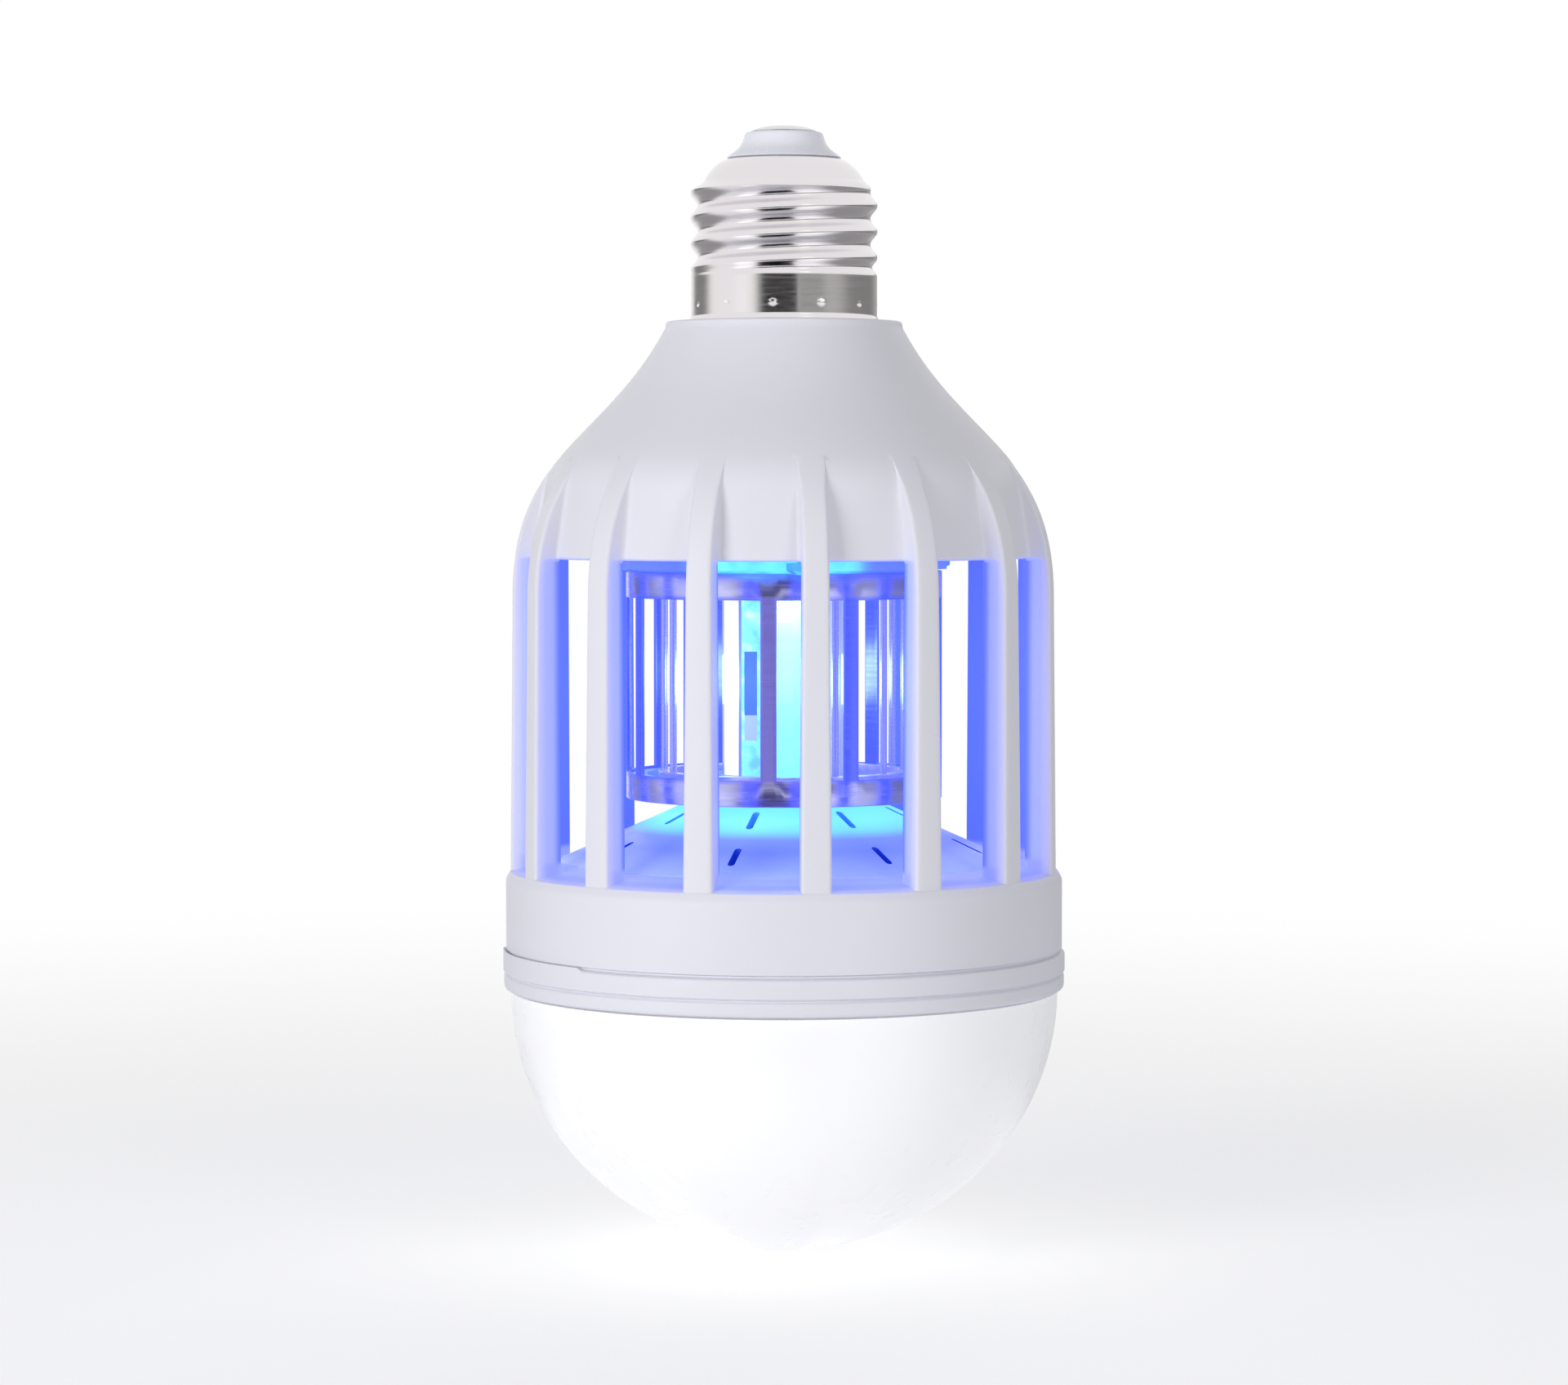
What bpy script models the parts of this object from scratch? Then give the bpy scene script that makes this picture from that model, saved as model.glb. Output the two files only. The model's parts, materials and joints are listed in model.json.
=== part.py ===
"""Insect killer light bulb: a screw-cap bulb with an electric grid in a ribbed cage above a white lamp.

Metres, +Z up. The origin is the centre of the end contact's flat face and the bulb hangs below it.
Angles round the bulb are measured from its front, -Y, towards +X.
"""
import math

import bpy
import bmesh
from mathutils import Matrix, Vector

TURN = math.tau
FRONT = -math.pi / 2

# Clearance between pieces that touch on the real bulb, and the wall of its mouldings
SEAT = 0.0003
WALL = 0.0020

# Screw cap: contact and insulator
CONTACT_RADIUS = 0.0045
CONTACT_HEIGHT = 0.0008
CONTACT_FACE_RADIUS = 0.0025
CONTACT_EDGE = 0.0005
SHANK_RADIUS = 0.0012
INSULATOR_TOP_RADIUS = 0.0055
INSULATOR_RADIUS = 0.0080
INSULATOR_HEIGHT = 0.0032
INSULATOR_FLANGE = 0.0016
INSULATOR_EDGE_DROP = 0.0005
INSULATOR_FLARE = 0.28
CAP_STEPS = 18

# Screw cap: threaded shell rolled from sheet, crimped to the housing's spigot
SHELL_SHEET = 0.0004
SHELL_RIM_WIDTH = 0.0010
THREAD_RADIUS = 0.01315
THREAD_DEPTH = 0.0010
THREAD_PITCH = 0.003629
THREAD_TURNS = 3.35
THREAD_PHASE = math.radians(150)
SHOULDER_RADIUS = 0.0112
SHOULDER_HEIGHT = 0.0031
THREAD_LEAD_IN = 0.0013
SKIRT_RADIUS = 0.0131
SKIRT_HEIGHT = 0.0059
CRIMP_COUNT = 12
CRIMP_PHASE = math.radians(-6.8)
CRIMP_DEPTH = 0.0006
CRIMP_SPREAD = 0.0013
CRIMP_RISE = 0.0020
SPIGOT_HEIGHT = 0.0045
SHELL_COLUMNS = 24
SHOULDER_ROWS = 4
THREAD_ROWS = 4

# Housing: dome and the cage of ribs under it
NECK_RADIUS = 0.0167
NECK_EDGE = 0.0009
NECK_FLARE = math.radians(28)
NECK_EASE = 0.0180
SHOULDER_EASE = 0.0205
DOME_HEIGHT = 0.0386
CAGE_RADIUS = 0.03825
CAGE_SPREAD = 0.00035
RIB_COUNT = 15
RIB_PHASE = math.radians(6.5)
RIB_WIDTH_TOP = 0.0036
RIB_WIDTH_FOOT = 0.0042
RIB_DEPTH = 0.0035
RIB_ROOT_DEPTH = 0.0012
FLUTE_DROP = 0.0208
PANEL_DEPTH = 0.0032
PANEL_HEIGHT = 0.0124
PANEL_BEND = 0.15
PANEL_BULGE = 0.0004
WINDOW_HEIGHT = 0.0441
HOUSING_STEPS = 45
DOME_ROWS = 8
PANEL_ROWS = 4
RIB_ROWS = 6

# Housing: collar below the windows
SILL_DEPTH = 0.0066
SILL_DROP = 0.0015
SILL_THICKNESS = 0.0030
COLLAR_PROUD = 0.0007
LIP_PROUD = 0.00015
COLLAR_CHAMFER = 0.0011
COLLAR_HEIGHT = 0.0109
COLLAR_WALL = 0.0025

# Lamp ring under the collar, with two beads round it
RING_HEIGHT = 0.0053
BEAD_PROUD = 0.0005
LOWER_BEAD_PROUD = 0.0003
BEAD_GROOVE = 0.0006
BEAD_SPLIT = 0.58
RING_WALL = 0.0016
RING_LEDGE_WIDTH = 0.0010
RING_LEDGE_HEIGHT = 0.0014
RING_STEPS = 36

# Diffuser
DIFFUSER_SET_IN = 0.0006
DIFFUSER_WALL = 0.0016
DIFFUSER_DEPTH = 0.0369
DIFFUSER_TONGUE = 0.0029
DIFFUSER_STEP = 0.0009
DIFFUSER_STEPS = 36
DIFFUSER_RINGS = 8

# Lamp plate, lamp board and its lamps
PLATE_THICKNESS = 0.0015
PLATE_RIM_HEIGHT = 0.0060
PLATE_RIM_WALL = 0.0014
BOARD_THICKNESS = 0.0012
LAMP_BOARD_MARGIN = 0.0021
LAMP_SIZE = (0.0035, 0.0028, 0.0008)
LAMP_RINGS = ((0.0225, 8), (0.0105, 4))
BOARD_SCREW_CIRCLE = 0.0165

# Tray that the insects fall on
TRAY_SLOPE = 0.45
TRAY_BOSS_RADIUS = 0.0124
TRAY_THICKNESS = 0.0016
TRAY_RIM_WIDTH = 0.0038
TRAY_RIM_THICKNESS = 0.0012
SLOT_COUNT = 8
SLOT_PHASE = math.radians(-14.7)
SLOT_WIDTH = 0.0010
SLOT_LAND = 0.0050
INNER_SLOT_MARGIN = 0.0023
OUTER_SLOT_MARGIN = 0.0030
TRAY_STEPS = 32

# Electric grids: two coaxial cages of upright bars
GRID_AIR_GAP = 0.01245
GRID_SHEET = 0.0005
GRID_BARS = 12
GRID_PHASE = math.radians(-5.5)
GRID_BAR_WIDTH = 0.00225
GRID_RING_HEIGHT = 0.0037
GRID_DROP = 0.0018
GRID_FOOT_GAP = 0.0046
GRID_SPACING = 0.0053
INNER_GRID_WIRE = 0.0010
WIRE_STEPS = 6
INNER_RING_HEIGHT = 0.0020
INNER_RING_WIDTH = 0.0016
GRID_STEPS = 36

# Upper grid holder: a plate that closes the dome, with the hub of the violet lamp
HOLDER_THICKNESS = 0.0020
HOLDER_SHOULDER = 0.0008
HOLDER_SPIGOT_HEIGHT = 0.0034
HOLDER_SPIGOT_WALL = 0.0020
HUB_RADIUS = 0.0103
HUB_HEIGHT = 0.0040
BOARD_SEAT_WALL = 0.0014
BOARD_SEAT_HEIGHT = 0.0080
HOLDER_STEPS = 24

# Lower grid holder
FOOT_HOLDER_THICKNESS = 0.0032
FOOT_CUP_DEPTH = 0.0018

# Violet lamp: a clear tube round an upright board
TUBE_RADIUS = 0.0087
TUBE_WALL = 0.0008
TUBE_SOCKET = 0.0024
TUBE_STEPS = 16
STRIP_WIDTH = 0.0120
STRIP_THICKNESS = 0.0010
STRIP_LAMP_SIZE = (0.0028, 0.0007, 0.0028)
STRIP_LAMPS = 6
STRIP_MARGIN = 0.0045
WIRE_BORE = 0.0028

# Screws
SCREW_COUNT = 3
SCREW_RADIUS = 0.00125
SCREW_HEAD_RADIUS = 0.0027
SCREW_HEAD_HEIGHT = 0.0016
SCREW_CROWN_RADIUS = 0.0016
SCREW_CROWN_HEIGHT = 0.0006
SCREW_GRIP = 0.0045
SCREW_SPACE = 0.0007
BOSS_RADIUS = 0.0032
BOSS_STEPS = 10
SCREW_STEPS = 8
BOARD_SCREW_GRIP = 0.0009

# Driver board and its pieces: size, then place on the board, or how far in from its front or back edge
BOSS_SPACE = 0.0043
BOARD_OVERHANG = 0.0008
TRANSFORMER_SIZE = (0.0130, 0.0110, 0.0090)
TRANSFORMER_PLACE = (-0.0075, 0.0040)
FILM_SIZE = (0.0050, 0.0100, 0.0085)
FILM_PLACE = (0.0125, 0.0030)
BRIDGE_SIZE = (0.0070, 0.0050, 0.0026)
BRIDGE_SIDE = -0.0060
ELECTROLYTIC_RADIUS = 0.0040
ELECTROLYTIC_HEIGHT = 0.0110
ELECTROLYTIC_SIDE = 0.0045
FRONT_MARGIN = 0.0088
FUSE_RADIUS = 0.0016
FUSE_LENGTH = 0.0085
FUSE_SIDE = 0.0040
FUSE_MARGIN = 0.0058
CAN_STEPS = 16
FUSE_STEPS = 12

# Leads
LEAD_RADIUS = 0.0005
LEAD_POINTS = 9
GRID_LEAD_SPREAD = math.radians(20)
LAMP_LEAD_PLACE = (0.0012, 0.0014)
LIVE_LEAD_REACH = 0.0080
NEUTRAL_LEAD_FOOT = (0.0010, 0.0100)

# Heights, worked out downwards from the contact's face
CONTACT_BASE = -CONTACT_HEIGHT
INSULATOR_TOP = CONTACT_BASE - SEAT
INSULATOR_EDGE = INSULATOR_TOP - INSULATOR_HEIGHT
SHELL_TOP = INSULATOR_EDGE - SEAT
FLANGE_TOP = SHELL_TOP - SHELL_SHEET - SEAT
INSULATOR_BASE = FLANGE_TOP - INSULATOR_FLANGE
THREAD_TOP = SHELL_TOP - SHOULDER_HEIGHT - THREAD_LEAD_IN
THREAD_BASE = THREAD_TOP - THREAD_TURNS * THREAD_PITCH
SHELL_BASE = THREAD_BASE - SKIRT_HEIGHT
NECK_TOP = SHELL_BASE - SEAT
SPIGOT_TOP = NECK_TOP + SPIGOT_HEIGHT
DOME_BASE = NECK_TOP - DOME_HEIGHT
PANEL_TOP = NECK_TOP - FLUTE_DROP
WINDOW_TOP = PANEL_TOP - PANEL_HEIGHT
WINDOW_BASE = WINDOW_TOP - WINDOW_HEIGHT
COLLAR_BASE = WINDOW_BASE - COLLAR_HEIGHT
RING_TOP = COLLAR_BASE - SEAT
RING_BASE = RING_TOP - RING_HEIGHT
DIFFUSER_TOP = RING_BASE - SEAT
DIFFUSER_BASE = DIFFUSER_TOP - DIFFUSER_DEPTH

# Radii and heights of the cage and collar
CAGE_FOOT_RADIUS = CAGE_RADIUS + CAGE_SPREAD
RIB_INNER_RADIUS = CAGE_RADIUS - RIB_DEPTH
PANEL_RADIUS = CAGE_RADIUS - PANEL_DEPTH
GRID_RADIUS = RIB_INNER_RADIUS - GRID_AIR_GAP
INNER_GRID_RADIUS = GRID_RADIUS - GRID_SPACING
SPIGOT_RADIUS = SKIRT_RADIUS - SHELL_SHEET - CRIMP_DEPTH - SEAT
COLLAR_RADIUS = CAGE_FOOT_RADIUS + COLLAR_PROUD
COLLAR_BORE = COLLAR_RADIUS - COLLAR_WALL
SILL_RADIUS = CAGE_FOOT_RADIUS - SILL_DEPTH
SILL_TOP = WINDOW_BASE + SILL_DROP
SILL_BASE = SILL_TOP - SILL_THICKNESS

# Tray, seated up against the sill
TRAY_RADIUS = SILL_RADIUS - SEAT
TRAY_EDGE = SILL_TOP
TRAY_CROWN = TRAY_EDGE + (TRAY_RADIUS - TRAY_BOSS_RADIUS) * TRAY_SLOPE
TRAY_RIM_TOP = SILL_BASE - SEAT
TRAY_RIM_BASE = TRAY_RIM_TOP - TRAY_RIM_THICKNESS
TRAY_RIM_RADIUS = TRAY_RADIUS + TRAY_RIM_WIDTH
INNER_SLOT_START = TRAY_BOSS_RADIUS + INNER_SLOT_MARGIN
OUTER_SLOT_END = TRAY_RADIUS - OUTER_SLOT_MARGIN
SLOT_LENGTH = (OUTER_SLOT_END - INNER_SLOT_START - SLOT_LAND) / 2

# Lamp ring: its sleeve runs up inside the collar to the tray's rim
SLEEVE_RADIUS = COLLAR_BORE - SEAT
SLEEVE_BORE = SLEEVE_RADIUS - RING_WALL
SLEEVE_TOP = TRAY_RIM_BASE - SEAT
LEDGE_BORE = SLEEVE_BORE - RING_LEDGE_WIDTH
DIFFUSER_RADIUS = COLLAR_RADIUS - DIFFUSER_SET_IN
TONGUE_RADIUS = DIFFUSER_RADIUS - DIFFUSER_STEP
TONGUE_BORE = TONGUE_RADIUS - DIFFUSER_WALL
RING_BORE = TONGUE_RADIUS + SEAT
TONGUE_TOP = DIFFUSER_TOP + DIFFUSER_TONGUE
LEDGE_BASE = TONGUE_TOP + SEAT
LEDGE_TOP = LEDGE_BASE + RING_LEDGE_HEIGHT

# Lamp plate on the ring's ledge, board and lamps under it
PLATE_RADIUS = SLEEVE_BORE - SEAT
PLATE_BASE = LEDGE_TOP + SEAT
PLATE_TOP = PLATE_BASE + PLATE_THICKNESS
LAMP_BOARD_RADIUS = LEDGE_BORE - LAMP_BOARD_MARGIN
LAMP_BOARD_TOP = PLATE_BASE - SEAT
LAMP_BOARD_BASE = LAMP_BOARD_TOP - BOARD_THICKNESS

# Upper holder, screwed up to the dome's bosses
HOLDER_BASE = WINDOW_TOP
HOLDER_TOP = HOLDER_BASE + HOLDER_THICKNESS
GRID_TOP = HOLDER_BASE - GRID_DROP
HOLDER_SPIGOT_RADIUS = GRID_RADIUS - GRID_SHEET - SEAT
HOLDER_SPIGOT_BORE = HOLDER_SPIGOT_RADIUS - HOLDER_SPIGOT_WALL
HOLDER_SPIGOT_BASE = GRID_TOP - HOLDER_SPIGOT_HEIGHT
HOLDER_SHOULDER_RADIUS = GRID_RADIUS + HOLDER_SHOULDER
HOLDER_SCREW_CIRCLE = HOLDER_SHOULDER_RADIUS + SCREW_HEAD_RADIUS + SCREW_SPACE
BOARD_SEAT_RADIUS = HOLDER_SCREW_CIRCLE - BOSS_RADIUS - BOSS_SPACE
DRIVER_RADIUS = BOARD_SEAT_RADIUS + BOARD_OVERHANG
BRIDGE_PLACE = (BRIDGE_SIDE, FRONT_MARGIN - DRIVER_RADIUS)
ELECTROLYTIC_PLACE = (ELECTROLYTIC_SIDE, FRONT_MARGIN - DRIVER_RADIUS)
FUSE_PLACE = (FUSE_SIDE, DRIVER_RADIUS - FUSE_MARGIN)
LIVE_LEAD_FOOT = (FUSE_SIDE, FUSE_PLACE[1] - LIVE_LEAD_REACH)
HUB_BASE = HOLDER_BASE - HUB_HEIGHT
BOARD_SEAT_TOP = HOLDER_TOP + BOARD_SEAT_HEIGHT
DRIVER_BASE = BOARD_SEAT_TOP + SEAT
DRIVER_TOP = DRIVER_BASE + BOARD_THICKNESS
PIECES_BASE = DRIVER_TOP + SEAT

# Lower holder, on the tray's crown inside the foot of the outer grid
FOOT_HOLDER_BASE = TRAY_CROWN + SEAT
FOOT_HOLDER_TOP = FOOT_HOLDER_BASE + FOOT_HOLDER_THICKNESS
FOOT_HOLDER_RADIUS = HOLDER_SPIGOT_RADIUS
GRID_BASE = SILL_TOP + (TRAY_RADIUS - GRID_RADIUS) * TRAY_SLOPE + GRID_FOOT_GAP
TUBE_TOP = HUB_BASE + TUBE_SOCKET
TUBE_BASE = FOOT_HOLDER_TOP - TUBE_SOCKET


def new_collection(name):
    """A collection in the scene."""
    collection = bpy.data.collections.new(name)
    bpy.context.scene.collection.children.link(collection)
    return collection


def finish(name, colour, roughness, metallic=0.0, alpha=1.0):
    """A Principled material."""
    material = bpy.data.materials.new(name)
    material.use_nodes = True
    shader = material.node_tree.nodes["Principled BSDF"]
    shader.inputs["Base Color"].default_value = (*colour, 1.0)
    shader.inputs["Roughness"].default_value = roughness
    shader.inputs["Metallic"].default_value = metallic
    shader.inputs["Alpha"].default_value = alpha
    return material


def add_object(name, mesh, material=None):
    """An object in the bulb's collection, or in the cutters' when it has no material."""
    piece = bpy.data.objects.new(name, mesh)
    if material is None:
        cutters.objects.link(piece)
        piece.hide_render = True
        piece.display_type = "WIRE"
    else:
        bulb.objects.link(piece)
        mesh.materials.append(material)
    return piece


def placed(radius, angle, height):
    """The point at a radius, an angle from the front and a height."""
    return Vector((radius * math.cos(FRONT + angle), radius * math.sin(FRONT + angle), height))


def add_turn(piece, steps):
    """Spins the piece's profile round the Z axis."""
    screw = piece.modifiers.new("turn", "SCREW")
    screw.angle = TURN
    screw.steps = steps
    screw.render_steps = steps
    screw.use_merge_vertices = True
    screw.merge_threshold = 0.000001


def turned(name, profile, steps, material, phase=0.0, closed=True):
    """A turned piece, from (radius, height) points that run down its outer side."""
    edges = [(i, i + 1) for i in range(len(profile) - 1)]
    if closed:
        edges.append((len(profile) - 1, 0))
    mesh = bpy.data.meshes.new(name)
    mesh.from_pydata([(radius, 0.0, height) for radius, height in profile], edges, [])
    piece = add_object(name, mesh, material)
    piece.rotation_euler.z = FRONT + phase
    add_turn(piece, steps)
    return piece


def baked(piece):
    """The piece as one plain mesh in world space, its modifiers and place applied."""
    bpy.context.view_layer.update()
    mesh = bpy.data.meshes.new_from_object(piece.evaluated_get(bpy.context.evaluated_depsgraph_get()))
    mesh.transform(piece.matrix_world)
    name = piece.name
    material = mesh.materials[0] if mesh.materials else None
    bpy.data.objects.remove(piece)
    mesh.materials.clear()
    return add_object(name, mesh, material)


def mesh_from(name, bm, material=None):
    """An object from a finished bmesh."""
    mesh = bpy.data.meshes.new(name)
    bm.to_mesh(mesh)
    bm.free()
    return add_object(name, mesh, material)


def add_box(bm, size, centre, angle=0.0):
    """A box in a bmesh, turned by an angle about its own upright axis."""
    matrix = Matrix.Translation(centre) @ Matrix.Rotation(angle, 4, "Z") @ Matrix.Diagonal((*size, 1.0))
    bmesh.ops.create_cube(bm, size=1.0, matrix=matrix)


def add_rod(bm, radius, base, top, place, segments):
    """An upright cylinder in a bmesh, between two heights."""
    centre = Vector((place[0], place[1], (base + top) / 2))
    bmesh.ops.create_cone(
        bm,
        cap_ends=True,
        segments=segments,
        radius1=radius,
        radius2=radius,
        depth=top - base,
        matrix=Matrix.Translation(centre),
    )


def box(name, size, centre, material, angle=0.0):
    """A box-shaped piece."""
    bm = bmesh.new()
    add_box(bm, size, centre, angle)
    return mesh_from(name, bm, material)


def rods(name, radius, base, top, places, segments, material=None):
    """Upright cylinders as one object, a cutter unless it has a material."""
    bm = bmesh.new()
    for place in places:
        add_rod(bm, radius, base, top, place, segments)
    return mesh_from(name, bm, material)


def combine(target, tool, operation):
    """A Boolean between two objects."""
    modifier = target.modifiers.new(operation.lower(), "BOOLEAN")
    modifier.object = tool
    modifier.operation = operation
    modifier.solver = "EXACT"


def ring_of(radius, count, phase=0.0):
    """Points spaced evenly round a circle."""
    return [placed(radius, phase + TURN * k / count, 0.0) for k in range(count)]


def lead(name, points, material, count=LEAD_POINTS):
    """A wire: a tube along the Bezier curve of a few control points."""
    route = bpy.data.curves.new(name, "CURVE")
    route.dimensions = "3D"
    route.bevel_depth = LEAD_RADIUS
    route.bevel_resolution = 1
    route.use_fill_caps = True
    spline = route.splines.new("POLY")
    spline.points.add(count - 1)
    for i in range(count):
        spline.points[i].co = (*along(points, i / (count - 1)), 1.0)
    piece = bpy.data.objects.new(name, route)
    bulb.objects.link(piece)
    route.materials.append(material)
    return piece


def along(points, share):
    """The point at a share of a Bezier curve's length parameter."""
    level = [Vector(point) for point in points]
    while len(level) > 1:
        level = [a.lerp(b, share) for a, b in zip(level, level[1:])]
    return level[0]


def inset(profile, distance):
    """The profile moved inwards from its outer side by a distance, end points level."""
    moved = []
    last = len(profile) - 1
    for i, (radius, height) in enumerate(profile):
        before = Vector(profile[max(i - 1, 0)])
        after = Vector(profile[min(i + 1, last)])
        way = (after - before).normalized()
        moved.append((radius + way.y * distance, height - way.x * distance))
    return moved


def dome_curve(share):
    """A point of the dome's outline: one S curve from the neck's edge to the widest height."""
    start = Vector((NECK_RADIUS, NECK_TOP - NECK_EDGE))
    end = Vector((CAGE_RADIUS, DOME_BASE))
    flare = Vector((math.sin(NECK_FLARE), -math.cos(NECK_FLARE)))
    return along((start, start + flare * NECK_EASE, end + Vector((0.0, SHOULDER_EASE)), end), share)


def dome_share(height):
    """The share of the dome's curve at a height."""
    low = 0.0
    high = 1.0
    for _ in range(40):
        middle = (low + high) / 2
        if dome_curve(middle).y > height:
            low = middle
        else:
            high = middle
    return low


def dome_points(top, base, count):
    """Points of the dome's outline between two heights."""
    first = dome_share(top)
    last = dome_share(base)
    return [tuple(dome_curve(first + (last - first) * i / (count - 1))) for i in range(count)]


def panel_points(count):
    """The outline of a panel between two ribs, from where the flute starts to the window's top."""
    start = dome_curve(dome_share(PANEL_TOP))
    end = Vector((PANEL_RADIUS, WINDOW_TOP))
    bend = start + (end - start) * PANEL_BEND + Vector((PANEL_BULGE, 0.0))
    return [tuple(along((start, bend, end), i / (count - 1))) for i in range(count)]


def centre_contact(metal):
    """The end contact: a riveted button whose shank runs down through the insulator."""
    profile = [
        (0.0, 0.0),
        (CONTACT_FACE_RADIUS, 0.0),
        (CONTACT_RADIUS - CONTACT_EDGE, -CONTACT_EDGE),
        (CONTACT_RADIUS, CONTACT_BASE),
        (SHANK_RADIUS, CONTACT_BASE),
        (SHANK_RADIUS, INSULATOR_BASE - SEAT),
        (0.0, INSULATOR_BASE - SEAT),
    ]
    turned("centre_contact", profile, CAP_STEPS, metal, closed=False)


def cap_insulator(plastic):
    """The insulator, moulded through the shell's rim: a flaring cone above it and a flange below."""
    waist = INSULATOR_RADIUS - SHELL_RIM_WIDTH - SEAT
    middle = INSULATOR_TOP_RADIUS + (INSULATOR_RADIUS - INSULATOR_TOP_RADIUS) * INSULATOR_FLARE
    profile = [
        (SHANK_RADIUS + SEAT, INSULATOR_TOP),
        (INSULATOR_TOP_RADIUS - INSULATOR_EDGE_DROP, INSULATOR_TOP),
        (INSULATOR_TOP_RADIUS, INSULATOR_TOP - INSULATOR_EDGE_DROP),
        (middle, (INSULATOR_TOP + INSULATOR_EDGE) / 2),
        (INSULATOR_RADIUS, INSULATOR_EDGE),
        (waist, INSULATOR_EDGE),
        (waist, FLANGE_TOP),
        (INSULATOR_RADIUS, FLANGE_TOP),
        (INSULATOR_RADIUS, INSULATOR_BASE),
        (SHANK_RADIUS + SEAT, INSULATOR_BASE),
    ]
    turned("cap_insulator", profile, CAP_STEPS, plastic)


def shell_radius(angle, height):
    """The shell's outer radius: a rounded right-hand thread that fades into its shoulder and skirt."""
    wave = (1 + math.cos(TURN * (height - THREAD_TOP) / THREAD_PITCH - angle - THREAD_PHASE)) / 2
    thread = THREAD_RADIUS - THREAD_DEPTH * (1 - wave)
    fade = (THREAD_BASE + THREAD_PITCH / 2 - height) / (THREAD_PITCH / 2)
    fade = min(max(fade, 0.0), 1.0)
    return thread + (SKIRT_RADIUS - thread) * fade


def shell_profile():
    """The shell before its thread is rolled: rim, shoulder, threaded length and skirt."""
    profile = [(INSULATOR_RADIUS - SHELL_RIM_WIDTH, SHELL_TOP)]
    reach = SHOULDER_RADIUS - INSULATOR_RADIUS
    for i in range(SHOULDER_ROWS + 1):
        turn = i / SHOULDER_ROWS * math.pi / 2
        radius = INSULATOR_RADIUS + reach * math.sin(turn)
        profile.append((radius, SHELL_TOP - SHOULDER_HEIGHT * (1 - math.cos(turn))))
    rows = round(THREAD_TURNS * THREAD_ROWS)
    for i in range(rows + 1):
        profile.append((THREAD_RADIUS, THREAD_TOP - (THREAD_TOP - THREAD_BASE) * i / rows))
    crimp = SHELL_BASE + CRIMP_RISE
    for height in (crimp + CRIMP_SPREAD, crimp, crimp - CRIMP_SPREAD, SHELL_BASE):
        profile.append((SKIRT_RADIUS, height))
    return profile


def screw_shell(metal):
    """The threaded shell: a turned sheet with its thread rolled in and its skirt punched to the spigot."""
    shell = turned("screw_shell", shell_profile(), SHELL_COLUMNS, metal, CRIMP_PHASE, closed=False)
    shell = baked(shell)
    crimps = ring_of(SKIRT_RADIUS, CRIMP_COUNT, CRIMP_PHASE)
    for vertex in shell.data.vertices:
        point = vertex.co
        if point.z > THREAD_TOP + SHELL_SHEET / 4:
            continue
        angle = math.atan2(point.y, point.x)
        radius = shell_radius(angle, point.z)
        for crimp in crimps:
            away = (point - Vector((crimp.x, crimp.y, SHELL_BASE + CRIMP_RISE))).length
            radius -= CRIMP_DEPTH * math.exp(-((away / CRIMP_SPREAD) ** 2))
        point.x = radius * math.cos(angle)
        point.y = radius * math.sin(angle)
    sheet = shell.modifiers.new("sheet", "SOLIDIFY")
    sheet.thickness = SHELL_SHEET
    sheet.offset = -1.0
    sheet.use_even_offset = True


def housing_dome(material):
    """The dome, from the spigot inside the screw shell to the top of the windows."""
    edge = NECK_EDGE * (1 - math.sqrt(0.5))
    outer = [(NECK_RADIUS - NECK_EDGE, NECK_TOP), (NECK_RADIUS - edge, NECK_TOP - edge)]
    outer += dome_points(NECK_TOP - NECK_EDGE, PANEL_TOP, DOME_ROWS)
    outer += panel_points(PANEL_ROWS)[1:]
    inner = inset(outer[2:], WALL)[::2]
    inner[-1] = (PANEL_RADIUS - WALL, WINDOW_TOP)
    bore = SPIGOT_RADIUS - WALL
    spigot = [(SPIGOT_RADIUS, SPIGOT_TOP), (SPIGOT_RADIUS, NECK_TOP)]
    roof = [(bore, NECK_TOP - WALL), (bore, SPIGOT_TOP)]
    return turned("cage_housing", spigot + outer + inner[::-1] + roof, HOUSING_STEPS, material, RIB_PHASE)


def housing_collar(material):
    """The collar under the windows: a sloping sill on a tube that takes the lamp ring."""
    lip = CAGE_FOOT_RADIUS + LIP_PROUD
    profile = [
        (SILL_RADIUS, SILL_TOP),
        (lip, WINDOW_BASE),
        (COLLAR_RADIUS, WINDOW_BASE - COLLAR_CHAMFER),
        (COLLAR_RADIUS, COLLAR_BASE),
        (COLLAR_BORE, COLLAR_BASE),
        (COLLAR_BORE, SILL_BASE),
        (SILL_RADIUS, SILL_BASE),
    ]
    return turned("collar", profile, HOUSING_STEPS, material, RIB_PHASE)


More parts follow.
